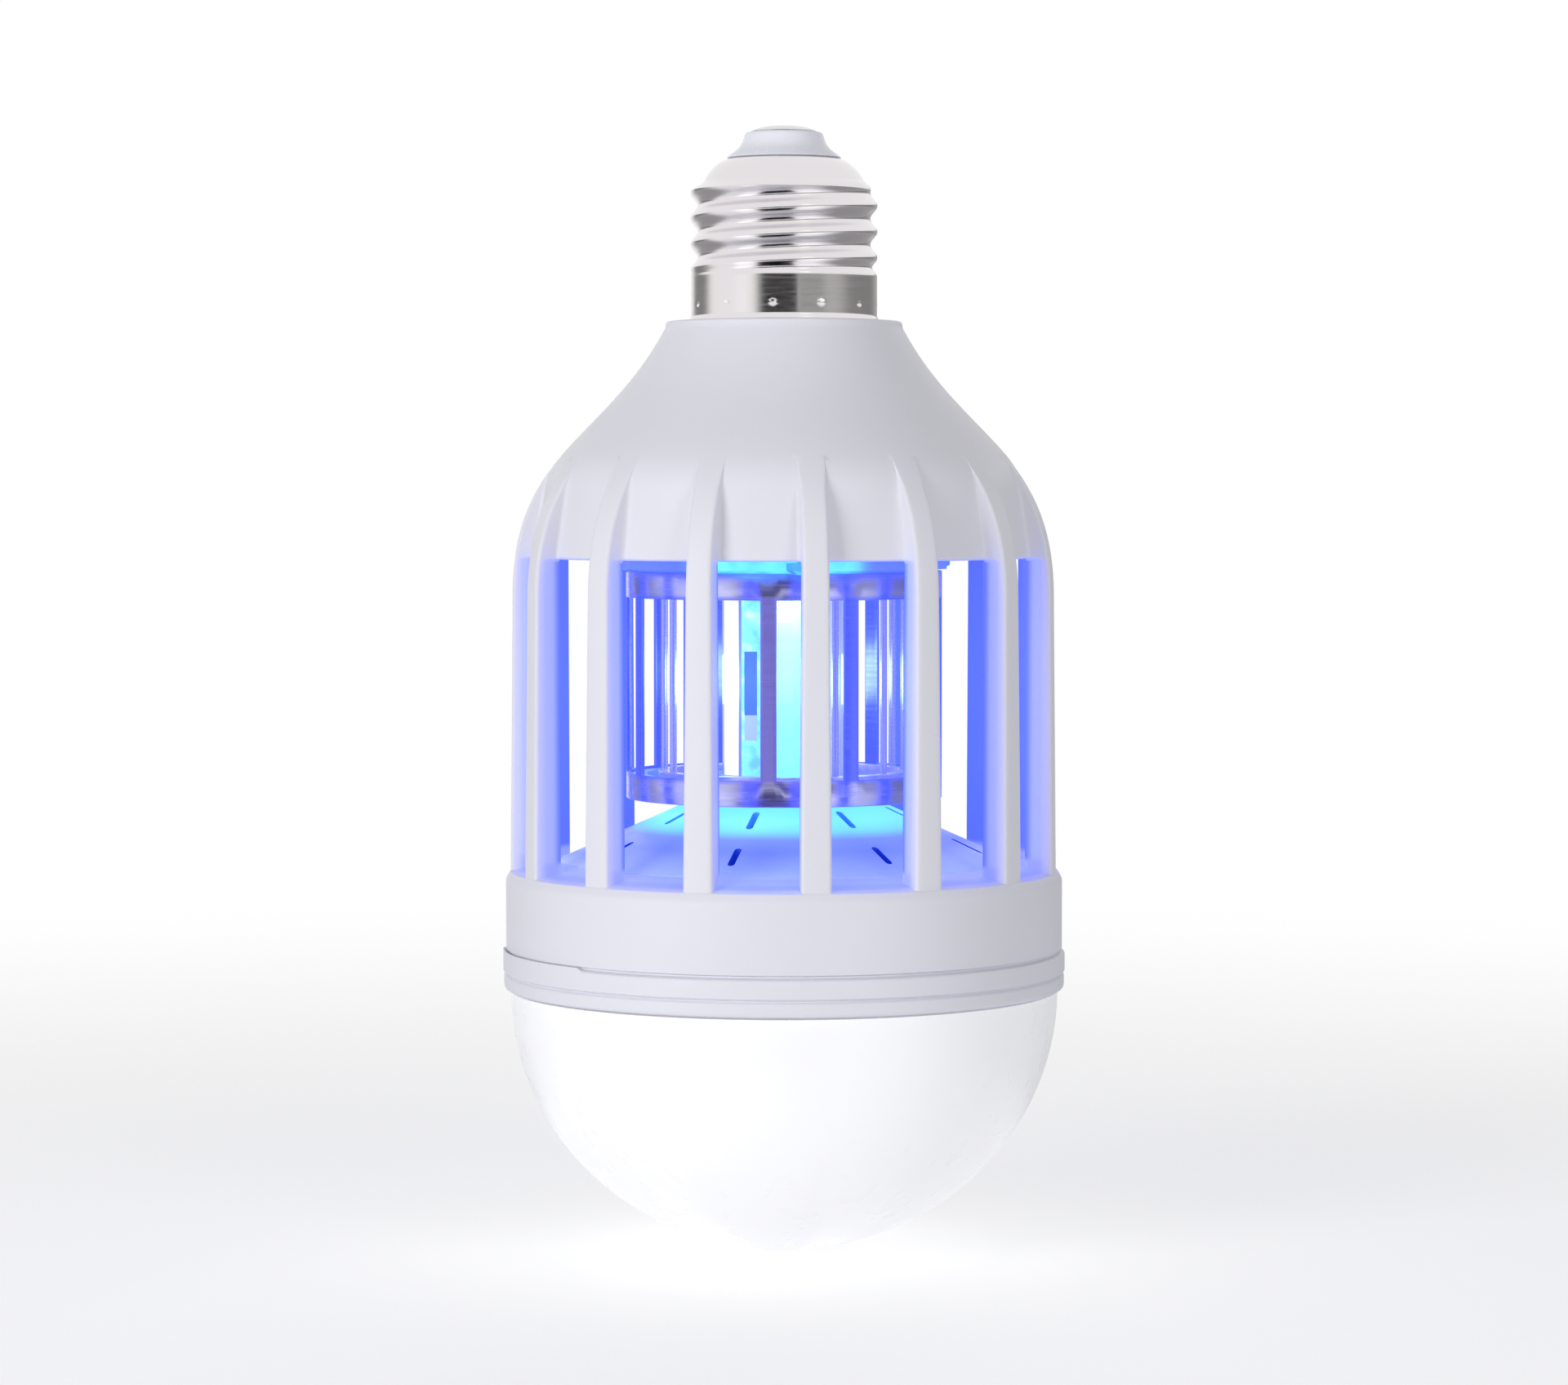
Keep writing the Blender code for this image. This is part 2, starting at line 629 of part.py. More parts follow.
def rib_outline():
    """One rib's side view: its outer edge keeps to the dome's curve and its foot stands in the sill."""
    start = dome_curve(dome_share(PANEL_TOP + WALL))
    outer = [(start.x - RIB_ROOT_DEPTH, start.y)]
    outer += dome_points(PANEL_TOP - WALL / 2, DOME_BASE, RIB_ROWS)
    outer.append((CAGE_FOOT_RADIUS, WINDOW_BASE + SILL_DROP / 2))
    foot = (SILL_TOP + SILL_BASE) / 2 - SILL_DROP / 2
    inner = [(CAGE_FOOT_RADIUS - SEAT, foot), (RIB_INNER_RADIUS, foot)]
    inner.append((RIB_INNER_RADIUS, WINDOW_TOP - WALL / 2))
    inner += [(radius - WALL / 2, height + WALL / 4) for radius, height in reversed(panel_points(3)[1:])]
    return outer + inner


def rib_mesh():
    """One rib at the front: a flat outline with thickness, then tapered towards its top."""
    outline = rib_outline()
    curve = bpy.data.curves.new("rib", "CURVE")
    curve.dimensions = "2D"
    curve.fill_mode = "BOTH"
    curve.extrude = RIB_WIDTH_FOOT / 2
    spline = curve.splines.new("POLY")
    spline.points.add(len(outline) - 1)
    for point, (radius, height) in zip(spline.points, outline):
        point.co = (radius, height, 0.0, 1.0)
    spline.use_cyclic_u = True
    flat = bpy.data.objects.new("rib", curve)
    cutters.objects.link(flat)
    bpy.context.view_layer.update()
    mesh = bpy.data.meshes.new_from_object(flat.evaluated_get(bpy.context.evaluated_depsgraph_get()))
    bpy.data.objects.remove(flat)
    bm = bmesh.new()
    bm.from_mesh(mesh)
    bmesh.ops.remove_doubles(bm, verts=bm.verts, dist=0.00001)
    for vertex in bm.verts:
        radius, height, side = vertex.co
        rise = (height - WINDOW_BASE) / (WINDOW_TOP - WINDOW_BASE)
        width = RIB_WIDTH_FOOT + (RIB_WIDTH_TOP - RIB_WIDTH_FOOT) * min(max(rise, 0.0), 1.0)
        vertex.co = (radius, -side * width / RIB_WIDTH_FOOT, height)
    bmesh.ops.recalc_face_normals(bm, faces=bm.faces)
    bm.to_mesh(mesh)
    bm.free()
    return mesh


def rib_cage():
    """All the ribs as one tool."""
    rib = rib_mesh()
    bm = bmesh.new()
    for k in range(RIB_COUNT):
        first = len(bm.verts)
        bm.from_mesh(rib)
        bm.verts.ensure_lookup_table()
        turn = Matrix.Rotation(FRONT + RIB_PHASE + TURN * k / RIB_COUNT, 4, "Z")
        bmesh.ops.transform(bm, matrix=turn, verts=bm.verts[first:])
    return mesh_from("rib_cage", bm)


def cage_housing(plastic):
    """The housing: dome, ribs and collar moulded as one, with three screw bosses inside."""
    dome = baked(housing_dome(plastic))
    collar = baked(housing_collar(plastic))
    bm = bmesh.new()
    bm.from_mesh(dome.data)
    bm.from_mesh(collar.data)
    bm.to_mesh(dome.data)
    bm.free()
    bpy.data.objects.remove(collar)
    combine(dome, rib_cage(), "UNION")
    places = ring_of(HOLDER_SCREW_CIRCLE, SCREW_COUNT, RIB_PHASE)
    roof = dome_height_at(HOLDER_SCREW_CIRCLE + BOSS_RADIUS) - WALL / 2
    combine(dome, rods("bosses", BOSS_RADIUS, HOLDER_TOP + SEAT, roof, places, BOSS_STEPS), "UNION")
    base = HOLDER_TOP - SEAT
    top = HOLDER_TOP + SCREW_GRIP + SEAT
    combine(dome, rods("boss_bores", SCREW_RADIUS + SEAT, base, top, places, SCREW_STEPS), "DIFFERENCE")


def dome_height_at(radius):
    """The height at which the dome's outline reaches a radius."""
    low = 0.0
    high = 1.0
    for _ in range(40):
        middle = (low + high) / 2
        if dome_curve(middle).x < radius:
            low = middle
        else:
            high = middle
    return dome_curve(low).y


def grid_holder_upper(plastic):
    """The plate that closes the dome: a seat for the driver board above, a spigot and a hub below."""
    panel = inset(panel_points(PANEL_ROWS), WALL)
    edge = PANEL_RADIUS - WALL - SEAT
    slope = (panel[-1][0] - panel[-2][0]) / (panel[-2][1] - panel[-1][1])
    upper_edge = edge - HOLDER_THICKNESS * slope
    ceiling = HOLDER_BASE
    seat_radius = BOARD_SEAT_RADIUS
    profile = [
        (WIRE_BORE, HOLDER_TOP),
        (seat_radius - BOARD_SEAT_WALL, HOLDER_TOP),
        (seat_radius - BOARD_SEAT_WALL, BOARD_SEAT_TOP),
        (seat_radius, BOARD_SEAT_TOP),
        (seat_radius, HOLDER_TOP),
        (upper_edge, HOLDER_TOP),
        (edge, ceiling),
        (HOLDER_SHOULDER_RADIUS, ceiling),
        (HOLDER_SHOULDER_RADIUS, GRID_TOP + SEAT),
        (HOLDER_SPIGOT_RADIUS, GRID_TOP + SEAT),
        (HOLDER_SPIGOT_RADIUS, HOLDER_SPIGOT_BASE),
        (HOLDER_SPIGOT_BORE, HOLDER_SPIGOT_BASE),
        (HOLDER_SPIGOT_BORE, ceiling),
        (HUB_RADIUS, ceiling),
        (HUB_RADIUS, HUB_BASE),
        (TUBE_RADIUS + SEAT, HUB_BASE),
        (TUBE_RADIUS + SEAT, TUBE_TOP + SEAT),
        (WIRE_BORE, TUBE_TOP + SEAT),
    ]
    holder = baked(turned("grid_holder_upper", profile, HOLDER_STEPS, plastic, RIB_PHASE))
    places = ring_of(HOLDER_SCREW_CIRCLE, SCREW_COUNT, RIB_PHASE)
    base = HOLDER_BASE - SEAT
    top = HOLDER_TOP + SEAT
    combine(holder, rods("holder_holes", SCREW_RADIUS + SEAT, base, top, places, SCREW_STEPS), "DIFFERENCE")
    passage = LEAD_RADIUS + SEAT
    outer = [grid_lead_place(GRID_RADIUS, -1)]
    inner = [grid_lead_place(INNER_GRID_RADIUS, 1)]
    combine(holder, rods("outer_passage", passage, GRID_TOP, top, outer, SCREW_STEPS), "DIFFERENCE")
    combine(holder, rods("inner_passage", passage, base, top, inner, SCREW_STEPS), "DIFFERENCE")


def grid_lead_place(radius, side):
    """Where a grid's lead comes down on it."""
    return placed(radius - LEAD_RADIUS, math.pi + side * GRID_LEAD_SPREAD, 0.0)


def outer_grid(metal):
    """The outer grid: a rolled sheet cylinder with upright windows punched out between its bars."""
    inner = GRID_RADIUS - GRID_SHEET
    profile = [(GRID_RADIUS, GRID_TOP), (GRID_RADIUS, GRID_BASE), (inner, GRID_BASE), (inner, GRID_TOP)]
    grid = baked(turned("outer_grid", profile, GRID_STEPS, metal, GRID_PHASE))
    half_window = math.pi / GRID_BARS - GRID_BAR_WIDTH / GRID_RADIUS / 2
    width = 2 * GRID_RADIUS * math.sin(half_window)
    size = (GRID_RADIUS / 2, width, GRID_TOP - GRID_BASE - 2 * GRID_RING_HEIGHT)
    bm = bmesh.new()
    for k in range(GRID_BARS):
        angle = GRID_PHASE + TURN * (k + 0.5) / GRID_BARS
        centre = placed(GRID_RADIUS, angle, (GRID_TOP + GRID_BASE) / 2)
        add_box(bm, size, centre, FRONT + angle)
    combine(grid, mesh_from("grid_windows", bm), "DIFFERENCE")


def inner_grid(metal):
    """The inner grid: upright wires between two rings, in line with the outer grid's bars."""
    top = HOLDER_BASE - SEAT
    base = FOOT_HOLDER_TOP - FOOT_CUP_DEPTH + SEAT
    outer = INNER_GRID_RADIUS + INNER_RING_WIDTH / 2
    inner = INNER_GRID_RADIUS - INNER_RING_WIDTH / 2
    bm = bmesh.new()
    for high in (top, base + INNER_RING_HEIGHT):
        low = high - INNER_RING_HEIGHT
        section = [(outer, high), (outer, low), (inner, low), (inner, high)]
        ring = baked(turned("ring", section, HOLDER_STEPS, metal, GRID_PHASE))
        bm.from_mesh(ring.data)
        bpy.data.objects.remove(ring)
    rings = mesh_from("inner_grid", bm, metal)
    sunk = INNER_RING_HEIGHT / 2
    places = ring_of(INNER_GRID_RADIUS, GRID_BARS, GRID_PHASE)
    wires = rods("grid_wires", INNER_GRID_WIRE / 2, base + sunk, top - sunk, places, WIRE_STEPS)
    combine(rings, wires, "UNION")


def grid_holder_lower(plastic):
    """The plate inside the foot of the outer grid, with the violet lamp's lower socket."""
    cup = FOOT_HOLDER_TOP - FOOT_CUP_DEPTH
    profile = [
        (TUBE_RADIUS + SEAT, FOOT_HOLDER_TOP),
        (HUB_RADIUS, FOOT_HOLDER_TOP),
        (HUB_RADIUS, cup),
        (HOLDER_SPIGOT_BORE, cup),
        (HOLDER_SPIGOT_BORE, FOOT_HOLDER_TOP),
        (FOOT_HOLDER_RADIUS, FOOT_HOLDER_TOP),
        (FOOT_HOLDER_RADIUS, FOOT_HOLDER_BASE),
        (WIRE_BORE, FOOT_HOLDER_BASE),
        (WIRE_BORE, TUBE_BASE - SEAT),
        (TUBE_RADIUS + SEAT, TUBE_BASE - SEAT),
    ]
    turned("grid_holder_lower", profile, HOLDER_STEPS, plastic, GRID_PHASE)


def violet_lamp(clear, board, lamp):
    """The violet lamp: a clear tube socketed at both ends round a board with lamps up its front."""
    bore = TUBE_RADIUS - TUBE_WALL
    profile = [(TUBE_RADIUS, TUBE_TOP), (TUBE_RADIUS, TUBE_BASE), (bore, TUBE_BASE), (bore, TUBE_TOP)]
    turned("uv_tube", profile, TUBE_STEPS, clear)
    height = TUBE_TOP - TUBE_BASE
    middle = (TUBE_TOP + TUBE_BASE) / 2
    box("uv_board", (STRIP_WIDTH, STRIP_THICKNESS, height), (0.0, 0.0, middle), board)
    spacing = (height - 2 * STRIP_MARGIN) / (STRIP_LAMPS - 1)
    face = -STRIP_THICKNESS / 2 - SEAT - STRIP_LAMP_SIZE[1] / 2
    for k in range(STRIP_LAMPS):
        level = TUBE_TOP - STRIP_MARGIN - spacing * k
        box(f"uv_led_{k + 1}", STRIP_LAMP_SIZE, (0.0, face, level), lamp)


def insect_tray(plastic):
    """The tray: a cone that sheds insects outwards, slotted, with a rim held under the sill."""
    under = TRAY_RADIUS - TRAY_THICKNESS
    drop = TRAY_THICKNESS / math.cos(math.atan(TRAY_SLOPE))
    profile = [
        (WIRE_BORE, TRAY_CROWN),
        (TRAY_BOSS_RADIUS, TRAY_CROWN),
        (TRAY_RADIUS, TRAY_EDGE),
        (TRAY_RADIUS, TRAY_RIM_TOP),
        (TRAY_RIM_RADIUS, TRAY_RIM_TOP),
        (TRAY_RIM_RADIUS, TRAY_RIM_BASE),
        (under, TRAY_RIM_BASE),
        (under, TRAY_EDGE - drop + TRAY_THICKNESS * TRAY_SLOPE),
        (TRAY_BOSS_RADIUS, TRAY_CROWN - drop),
        (WIRE_BORE, TRAY_CROWN - drop),
    ]
    tray = baked(turned("insect_tray", profile, TRAY_STEPS, plastic, SLOT_PHASE + TURN / TRAY_STEPS / 2))
    bm = bmesh.new()
    middle = (TRAY_CROWN + TRAY_RIM_BASE) / 2
    for start in (INNER_SLOT_START, OUTER_SLOT_END - SLOT_LENGTH):
        for k in range(SLOT_COUNT):
            angle = SLOT_PHASE + TURN * k / SLOT_COUNT
            centre = placed(start + SLOT_LENGTH / 2, angle, middle)
            add_box(bm, (SLOT_LENGTH, SLOT_WIDTH, TRAY_CROWN - TRAY_RIM_BASE), centre, FRONT + angle)
    combine(tray, mesh_from("tray_slots", bm), "DIFFERENCE")


def lamp_ring(plastic):
    """The lamp ring: two beads outside, a sleeve up inside the collar and a ledge for the lamp plate."""
    upper = COLLAR_RADIUS + BEAD_PROUD
    lower = COLLAR_RADIUS + LOWER_BEAD_PROUD
    edge = BEAD_GROOVE
    split = RING_TOP - RING_HEIGHT * BEAD_SPLIT
    profile = [
        (SLEEVE_BORE, SLEEVE_TOP),
        (SLEEVE_RADIUS, SLEEVE_TOP),
        (SLEEVE_RADIUS, RING_TOP),
        (COLLAR_RADIUS - SEAT, RING_TOP),
        (upper, RING_TOP - edge),
        (upper, split + edge),
        (COLLAR_RADIUS, split),
        (lower, split - edge),
        (lower, RING_BASE + edge / 2),
        (lower - edge / 2, RING_BASE),
        (RING_BORE, RING_BASE),
        (RING_BORE, LEDGE_BASE),
        (LEDGE_BORE, LEDGE_BASE),
        (LEDGE_BORE, LEDGE_TOP),
        (SLEEVE_BORE, LEDGE_TOP),
    ]
    turned("lamp_ring", profile, RING_STEPS, plastic, RIB_PHASE)


def lamp_plate(metal):
    """The pressed plate that carries the lamp board and draws off its heat."""
    inner = PLATE_RADIUS - PLATE_RIM_WALL
    rim = PLATE_TOP + PLATE_RIM_HEIGHT
    profile = [
        (WIRE_BORE, PLATE_TOP),
        (inner, PLATE_TOP),
        (inner, rim),
        (PLATE_RADIUS, rim),
        (PLATE_RADIUS, PLATE_BASE),
        (WIRE_BORE, PLATE_BASE),
    ]
    plate = baked(turned("heat_sink", profile, HOLDER_STEPS, metal))
    places = ring_of(BOARD_SCREW_CIRCLE, SCREW_COUNT)
    bores = rods("plate_bores", SCREW_RADIUS + SEAT, PLATE_BASE - SEAT, PLATE_TOP + SEAT, places, SCREW_STEPS)
    combine(plate, bores, "DIFFERENCE")


def lamp_board(board, lamp):
    """The lamp board with its white lamps."""
    profile = [
        (0.0, LAMP_BOARD_TOP),
        (LAMP_BOARD_RADIUS, LAMP_BOARD_TOP),
        (LAMP_BOARD_RADIUS, LAMP_BOARD_BASE),
        (0.0, LAMP_BOARD_BASE),
    ]
    disc = baked(turned("lamp_board", profile, HOLDER_STEPS, board, closed=False))
    places = ring_of(BOARD_SCREW_CIRCLE, SCREW_COUNT)
    bore = SCREW_RADIUS + SEAT
    base = LAMP_BOARD_BASE - SEAT
    top = LAMP_BOARD_TOP + SEAT
    combine(disc, rods("board_bores", bore, base, top, places, SCREW_STEPS), "DIFFERENCE")
    level = LAMP_BOARD_BASE - SEAT - LAMP_SIZE[2] / 2
    number = 0
    for radius, count in LAMP_RINGS:
        for k in range(count):
            number += 1
            angle = TURN * (k + 0.5) / count
            box(f"white_led_{number:02d}", LAMP_SIZE, placed(radius, angle, level), lamp, FRONT + angle)


def screw(name, place, seat, grip, metal):
    """A pan-head screw driven upwards, its head under the seat."""
    head_top = seat - SEAT
    profile = [
        (0.0, seat + grip),
        (SCREW_RADIUS, seat + grip),
        (SCREW_RADIUS, head_top),
        (SCREW_HEAD_RADIUS, head_top),
        (SCREW_HEAD_RADIUS, head_top - SCREW_HEAD_HEIGHT + SCREW_CROWN_HEIGHT),
        (SCREW_CROWN_RADIUS, head_top - SCREW_HEAD_HEIGHT),
        (0.0, head_top - SCREW_HEAD_HEIGHT),
    ]
    piece = turned(name, profile, SCREW_STEPS, metal, closed=False)
    piece.location = (place[0], place[1], 0.0)


def diffuser(milk):
    """The milky diffuser: a half ellipsoid whose tongue sits up inside the lamp ring."""
    hollow = DIFFUSER_DEPTH - DIFFUSER_WALL
    outer = []
    inner = []
    for i in range(DIFFUSER_RINGS + 1):
        turn = math.pi / 2 * i / DIFFUSER_RINGS
        outer.append((DIFFUSER_RADIUS * math.cos(turn), DIFFUSER_TOP - DIFFUSER_DEPTH * math.sin(turn)))
        inner.append((TONGUE_BORE * math.cos(turn), DIFFUSER_TOP - hollow * math.sin(turn)))
    outer[-1] = (0.0, DIFFUSER_BASE)
    inner[-1] = (0.0, DIFFUSER_BASE + DIFFUSER_WALL)
    tongue = [(TONGUE_BORE, TONGUE_TOP), (TONGUE_RADIUS, TONGUE_TOP), (TONGUE_RADIUS, DIFFUSER_TOP)]
    turned("diffuser", inner[::-2] + tongue + outer, DIFFUSER_STEPS, milk, closed=False)


def driver(board, dark, orange, core, tin):
    """The driver board in the dome and the pieces that stand on it."""
    edge = DRIVER_RADIUS
    profile = [(0.0, DRIVER_TOP), (edge, DRIVER_TOP), (edge, DRIVER_BASE), (0.0, DRIVER_BASE)]
    turned("driver_board", profile, HOLDER_STEPS, board, closed=False)
    for name, size, place, material in (
        ("transformer", TRANSFORMER_SIZE, TRANSFORMER_PLACE, core),
        ("film_capacitor", FILM_SIZE, FILM_PLACE, orange),
        ("bridge_rectifier", BRIDGE_SIZE, BRIDGE_PLACE, dark),
    ):
        box(name, size, (place[0], place[1], PIECES_BASE + size[2] / 2), material)
    base = PIECES_BASE
    can = base + ELECTROLYTIC_HEIGHT
    rods("electrolytic_capacitor", ELECTROLYTIC_RADIUS, base, can, [ELECTROLYTIC_PLACE], CAN_STEPS, dark)
    fuse = base + FUSE_LENGTH
    rods("fuse_resistor", FUSE_RADIUS, base, fuse, [FUSE_PLACE], FUSE_STEPS, tin)


def leads(red, black):
    """The leads between the cap, the driver board, the grids and the lamp board."""
    neck = NECK_TOP - DOME_HEIGHT / 3
    x, y = LIVE_LEAD_FOOT
    start = INSULATOR_BASE - 2 * SEAT
    lead("live_lead", [(0, 0, start), (0, 0, neck), (x, y, neck), (x, y, PIECES_BASE)], red)
    x, y = NEUTRAL_LEAD_FOOT
    start = THREAD_TOP - THREAD_PITCH
    side = THREAD_RADIUS - THREAD_DEPTH - SHELL_SHEET - LEAD_RADIUS - SEAT
    lead("neutral_lead", [(0, side, start), (0, side / 2, start), (x, y, neck), (x, y, PIECES_BASE)], black)
    x, y = LAMP_LEAD_PLACE
    for name, side, material in (("lamp_lead_live", x, red), ("lamp_lead_neutral", -x, black)):
        lead(name, [(side, y, DRIVER_BASE - SEAT), (side, y, LAMP_BOARD_TOP + SEAT)], material, 2)
    foot = grid_lead_place(INNER_GRID_RADIUS, 1)
    ends = [(foot.x, foot.y, DRIVER_BASE - SEAT), (foot.x, foot.y, HOLDER_BASE)]
    lead("grid_lead_inner", ends, black, 2)
    foot = grid_lead_place(GRID_RADIUS, -1)
    root = foot * (DRIVER_RADIUS / GRID_RADIUS)
    crest = PIECES_BASE + BOARD_SEAT_HEIGHT
    route = [(root.x, root.y, PIECES_BASE), (root.x, root.y, crest), (foot.x, foot.y, crest)]
    route += [(foot.x, foot.y, HOLDER_TOP), (foot.x, foot.y, GRID_TOP + SEAT)]
    lead("grid_lead_outer", route, red)


for existing in list(bpy.data.objects):
    bpy.data.objects.remove(existing)
bulb = new_collection("insect_killer_light_bulb")
cutters = new_collection("cutters")

white_plastic = finish("white_plastic", (0.80, 0.80, 0.83), 0.42)
nickel = finish("nickel", (0.72, 0.71, 0.70), 0.22, 1.0)
cap_glass = finish("cap_insulator", (0.78, 0.78, 0.84), 0.25)
steel = finish("steel", (0.55, 0.56, 0.58), 0.30, 1.0)
aluminium = finish("aluminium", (0.70, 0.70, 0.72), 0.40, 1.0)
milk = finish("milky_diffuser", (0.90, 0.90, 0.93), 0.30)
clear = finish("clear_tube", (0.70, 0.90, 0.98), 0.10, alpha=0.4)
board_white = finish("lamp_board", (0.82, 0.83, 0.80), 0.50)
board_green = finish("driver_board", (0.05, 0.25, 0.10), 0.50)
violet_chip = finish("violet_chip", (0.35, 0.45, 0.95), 0.30)
white_chip = finish("white_chip", (0.90, 0.85, 0.45), 0.35)
dark_plastic = finish("dark_plastic", (0.03, 0.03, 0.04), 0.45)
orange_film = finish("orange_film", (0.65, 0.22, 0.04), 0.40)
core_yellow = finish("winding_tape", (0.70, 0.60, 0.12), 0.50)
red_wire = finish("red_wire", (0.60, 0.03, 0.03), 0.45)
black_wire = finish("black_wire", (0.03, 0.03, 0.03), 0.45)

centre_contact(nickel)
cap_insulator(cap_glass)
screw_shell(nickel)
cage_housing(white_plastic)
driver(board_green, dark_plastic, orange_film, core_yellow, board_white)
grid_holder_upper(white_plastic)
outer_grid(steel)
inner_grid(steel)
grid_holder_lower(white_plastic)
violet_lamp(clear, board_white, violet_chip)
insect_tray(white_plastic)
lamp_ring(white_plastic)
lamp_plate(aluminium)
lamp_board(board_white, white_chip)
for number in range(SCREW_COUNT):
    place = ring_of(HOLDER_SCREW_CIRCLE, SCREW_COUNT, RIB_PHASE)[number]
    screw(f"holder_screw_{number + 1}", place, HOLDER_BASE, HOLDER_THICKNESS + SCREW_GRIP, steel)
    place = ring_of(BOARD_SCREW_CIRCLE, SCREW_COUNT)[number]
    screw(f"board_screw_{number + 1}", place, LAMP_BOARD_BASE, BOARD_THICKNESS + BOARD_SCREW_GRIP, steel)
diffuser(milk)
leads(red_wire, black_wire)
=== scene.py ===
"""Insect killer light bulb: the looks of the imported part, matched to its photograph.

Metres, +Z up, the front at -Y. Angles round the bulb are measured from the front towards +X.
"""
import json
import math

import bmesh
import bpy
import numpy as np
from mathutils import Matrix, Vector


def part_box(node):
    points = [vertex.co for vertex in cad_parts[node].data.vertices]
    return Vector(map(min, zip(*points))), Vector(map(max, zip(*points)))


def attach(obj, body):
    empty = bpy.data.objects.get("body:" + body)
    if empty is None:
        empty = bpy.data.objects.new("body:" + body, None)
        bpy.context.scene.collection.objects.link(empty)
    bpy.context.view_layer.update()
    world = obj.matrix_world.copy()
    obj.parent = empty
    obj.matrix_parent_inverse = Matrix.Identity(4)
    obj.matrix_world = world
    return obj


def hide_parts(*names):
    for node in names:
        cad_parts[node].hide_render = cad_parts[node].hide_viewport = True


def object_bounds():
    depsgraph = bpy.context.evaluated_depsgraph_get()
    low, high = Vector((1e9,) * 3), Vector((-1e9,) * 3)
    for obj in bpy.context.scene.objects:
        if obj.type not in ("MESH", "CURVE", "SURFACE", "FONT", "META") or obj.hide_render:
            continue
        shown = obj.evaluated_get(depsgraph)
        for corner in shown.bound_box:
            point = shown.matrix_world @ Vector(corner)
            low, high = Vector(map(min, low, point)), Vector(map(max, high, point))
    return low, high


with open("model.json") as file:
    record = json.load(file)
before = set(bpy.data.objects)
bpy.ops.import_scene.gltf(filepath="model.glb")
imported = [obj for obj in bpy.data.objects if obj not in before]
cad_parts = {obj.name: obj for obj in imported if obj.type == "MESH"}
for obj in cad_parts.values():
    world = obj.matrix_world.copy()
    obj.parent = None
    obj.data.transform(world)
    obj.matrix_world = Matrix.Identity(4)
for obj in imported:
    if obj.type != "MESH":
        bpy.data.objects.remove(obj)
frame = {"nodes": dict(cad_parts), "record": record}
cad_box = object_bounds()

TURN = math.tau
SHARP_ANGLE = math.radians(38)
MERGE_DISTANCE = 0.000002

# Screw cap
CONTACT_RADIUS = 0.0045
CONTACT_BASE = -0.0008
INSULATOR_TOP_RADIUS = 0.0055
INSULATOR_RADIUS = 0.0080
INSULATOR_EDGE = -0.0043
SHELL_TOP = -0.0046
SHELL_RIM_RADIUS = 0.0070
SHOULDER_RADIUS = 0.0112
SHOULDER_HEIGHT = 0.0031
SHOULDER_BASE = SHELL_TOP - SHOULDER_HEIGHT
SHOULDER_FULLNESS = 0.5
THREAD_TOP = -0.0090
THREAD_RADIUS = 0.01315
THREAD_DEPTH = 0.0010
THREAD_PITCH = 0.003629
THREAD_BASE = THREAD_TOP - 3.35 * THREAD_PITCH
THREAD_PHASE = math.radians(150)
SKIRT_RADIUS = 0.0131
SHELL_BASE = THREAD_BASE - 0.0059
SHELL_SEAT = SHELL_BASE - 0.00025
CRIMP_COUNT = 12
CRIMP_PHASE = math.radians(-6.8)
CRIMP_HEIGHT = SHELL_BASE + 0.0020
CRIMP_DEPTH = 0.00022
CRIMP_SPREAD = 0.00045
CRIMP_PIT = 0.00024
SKIRT_ROLL = 0.0006
SKIRT_LIP = 0.00022
SHOULDER_ROWS = 24
FADE_ROWS = 12
THREAD_ROWS = 92
SKIRT_ROWS = 44
LIP_ROWS = 7
CONTACT_COLUMNS = 96
INSULATOR_COLUMNS = 128
SHELL_COLUMNS = 288

# Housing
WALL = 0.0020
NECK_TOP = SHELL_BASE - 0.0003
NECK_RADIUS = 0.0167
NECK_EDGE = 0.0009
NECK_BORE = 0.0120
NECK_FLARE = math.radians(28)
NECK_EASE = 0.0180
SHOULDER_EASE = 0.0205
CAGE_RADIUS = 0.03825
CAGE_FOOT_RADIUS = 0.0386
DOME_BASE = NECK_TOP - 0.0386
PANEL_TOP = NECK_TOP - 0.0208
PANEL_RADIUS = 0.03505
PANEL_BEND = 0.15
PANEL_BULGE = 0.0004
PANEL_EASE = 0.0034
PANEL_START = 0.0018
PANEL_SOFTNESS = 1.7
WINDOW_TOP = PANEL_TOP - 0.0124
WINDOW_BASE = WINDOW_TOP - 0.0441
RIB_COUNT = 15
RIB_PHASE = math.radians(6.5)
RIB_WIDTH_TOP = 0.0036
RIB_WIDTH_FOOT = 0.0042
RIB_INNER_RADIUS = 0.03475
RIB_EDGE = 0.0005
RIB_FILLET = 0.0006
SILL_RADIUS = 0.0320
SILL_TOP = WINDOW_BASE + 0.0015
SILL_BASE = SILL_TOP - 0.0030
COLLAR_RADIUS = 0.0393
COLLAR_BORE = 0.0368
COLLAR_BASE = WINDOW_BASE - 0.0109
DOME_ROWS = 40
FLUTE_ROWS = 44
EDGE_ROWS = 5
UPPER_RIB_ROWS = 14
LOWER_RIB_ROWS = 22
PANEL_COLUMNS = 9
COLLAR_COLUMNS = 240

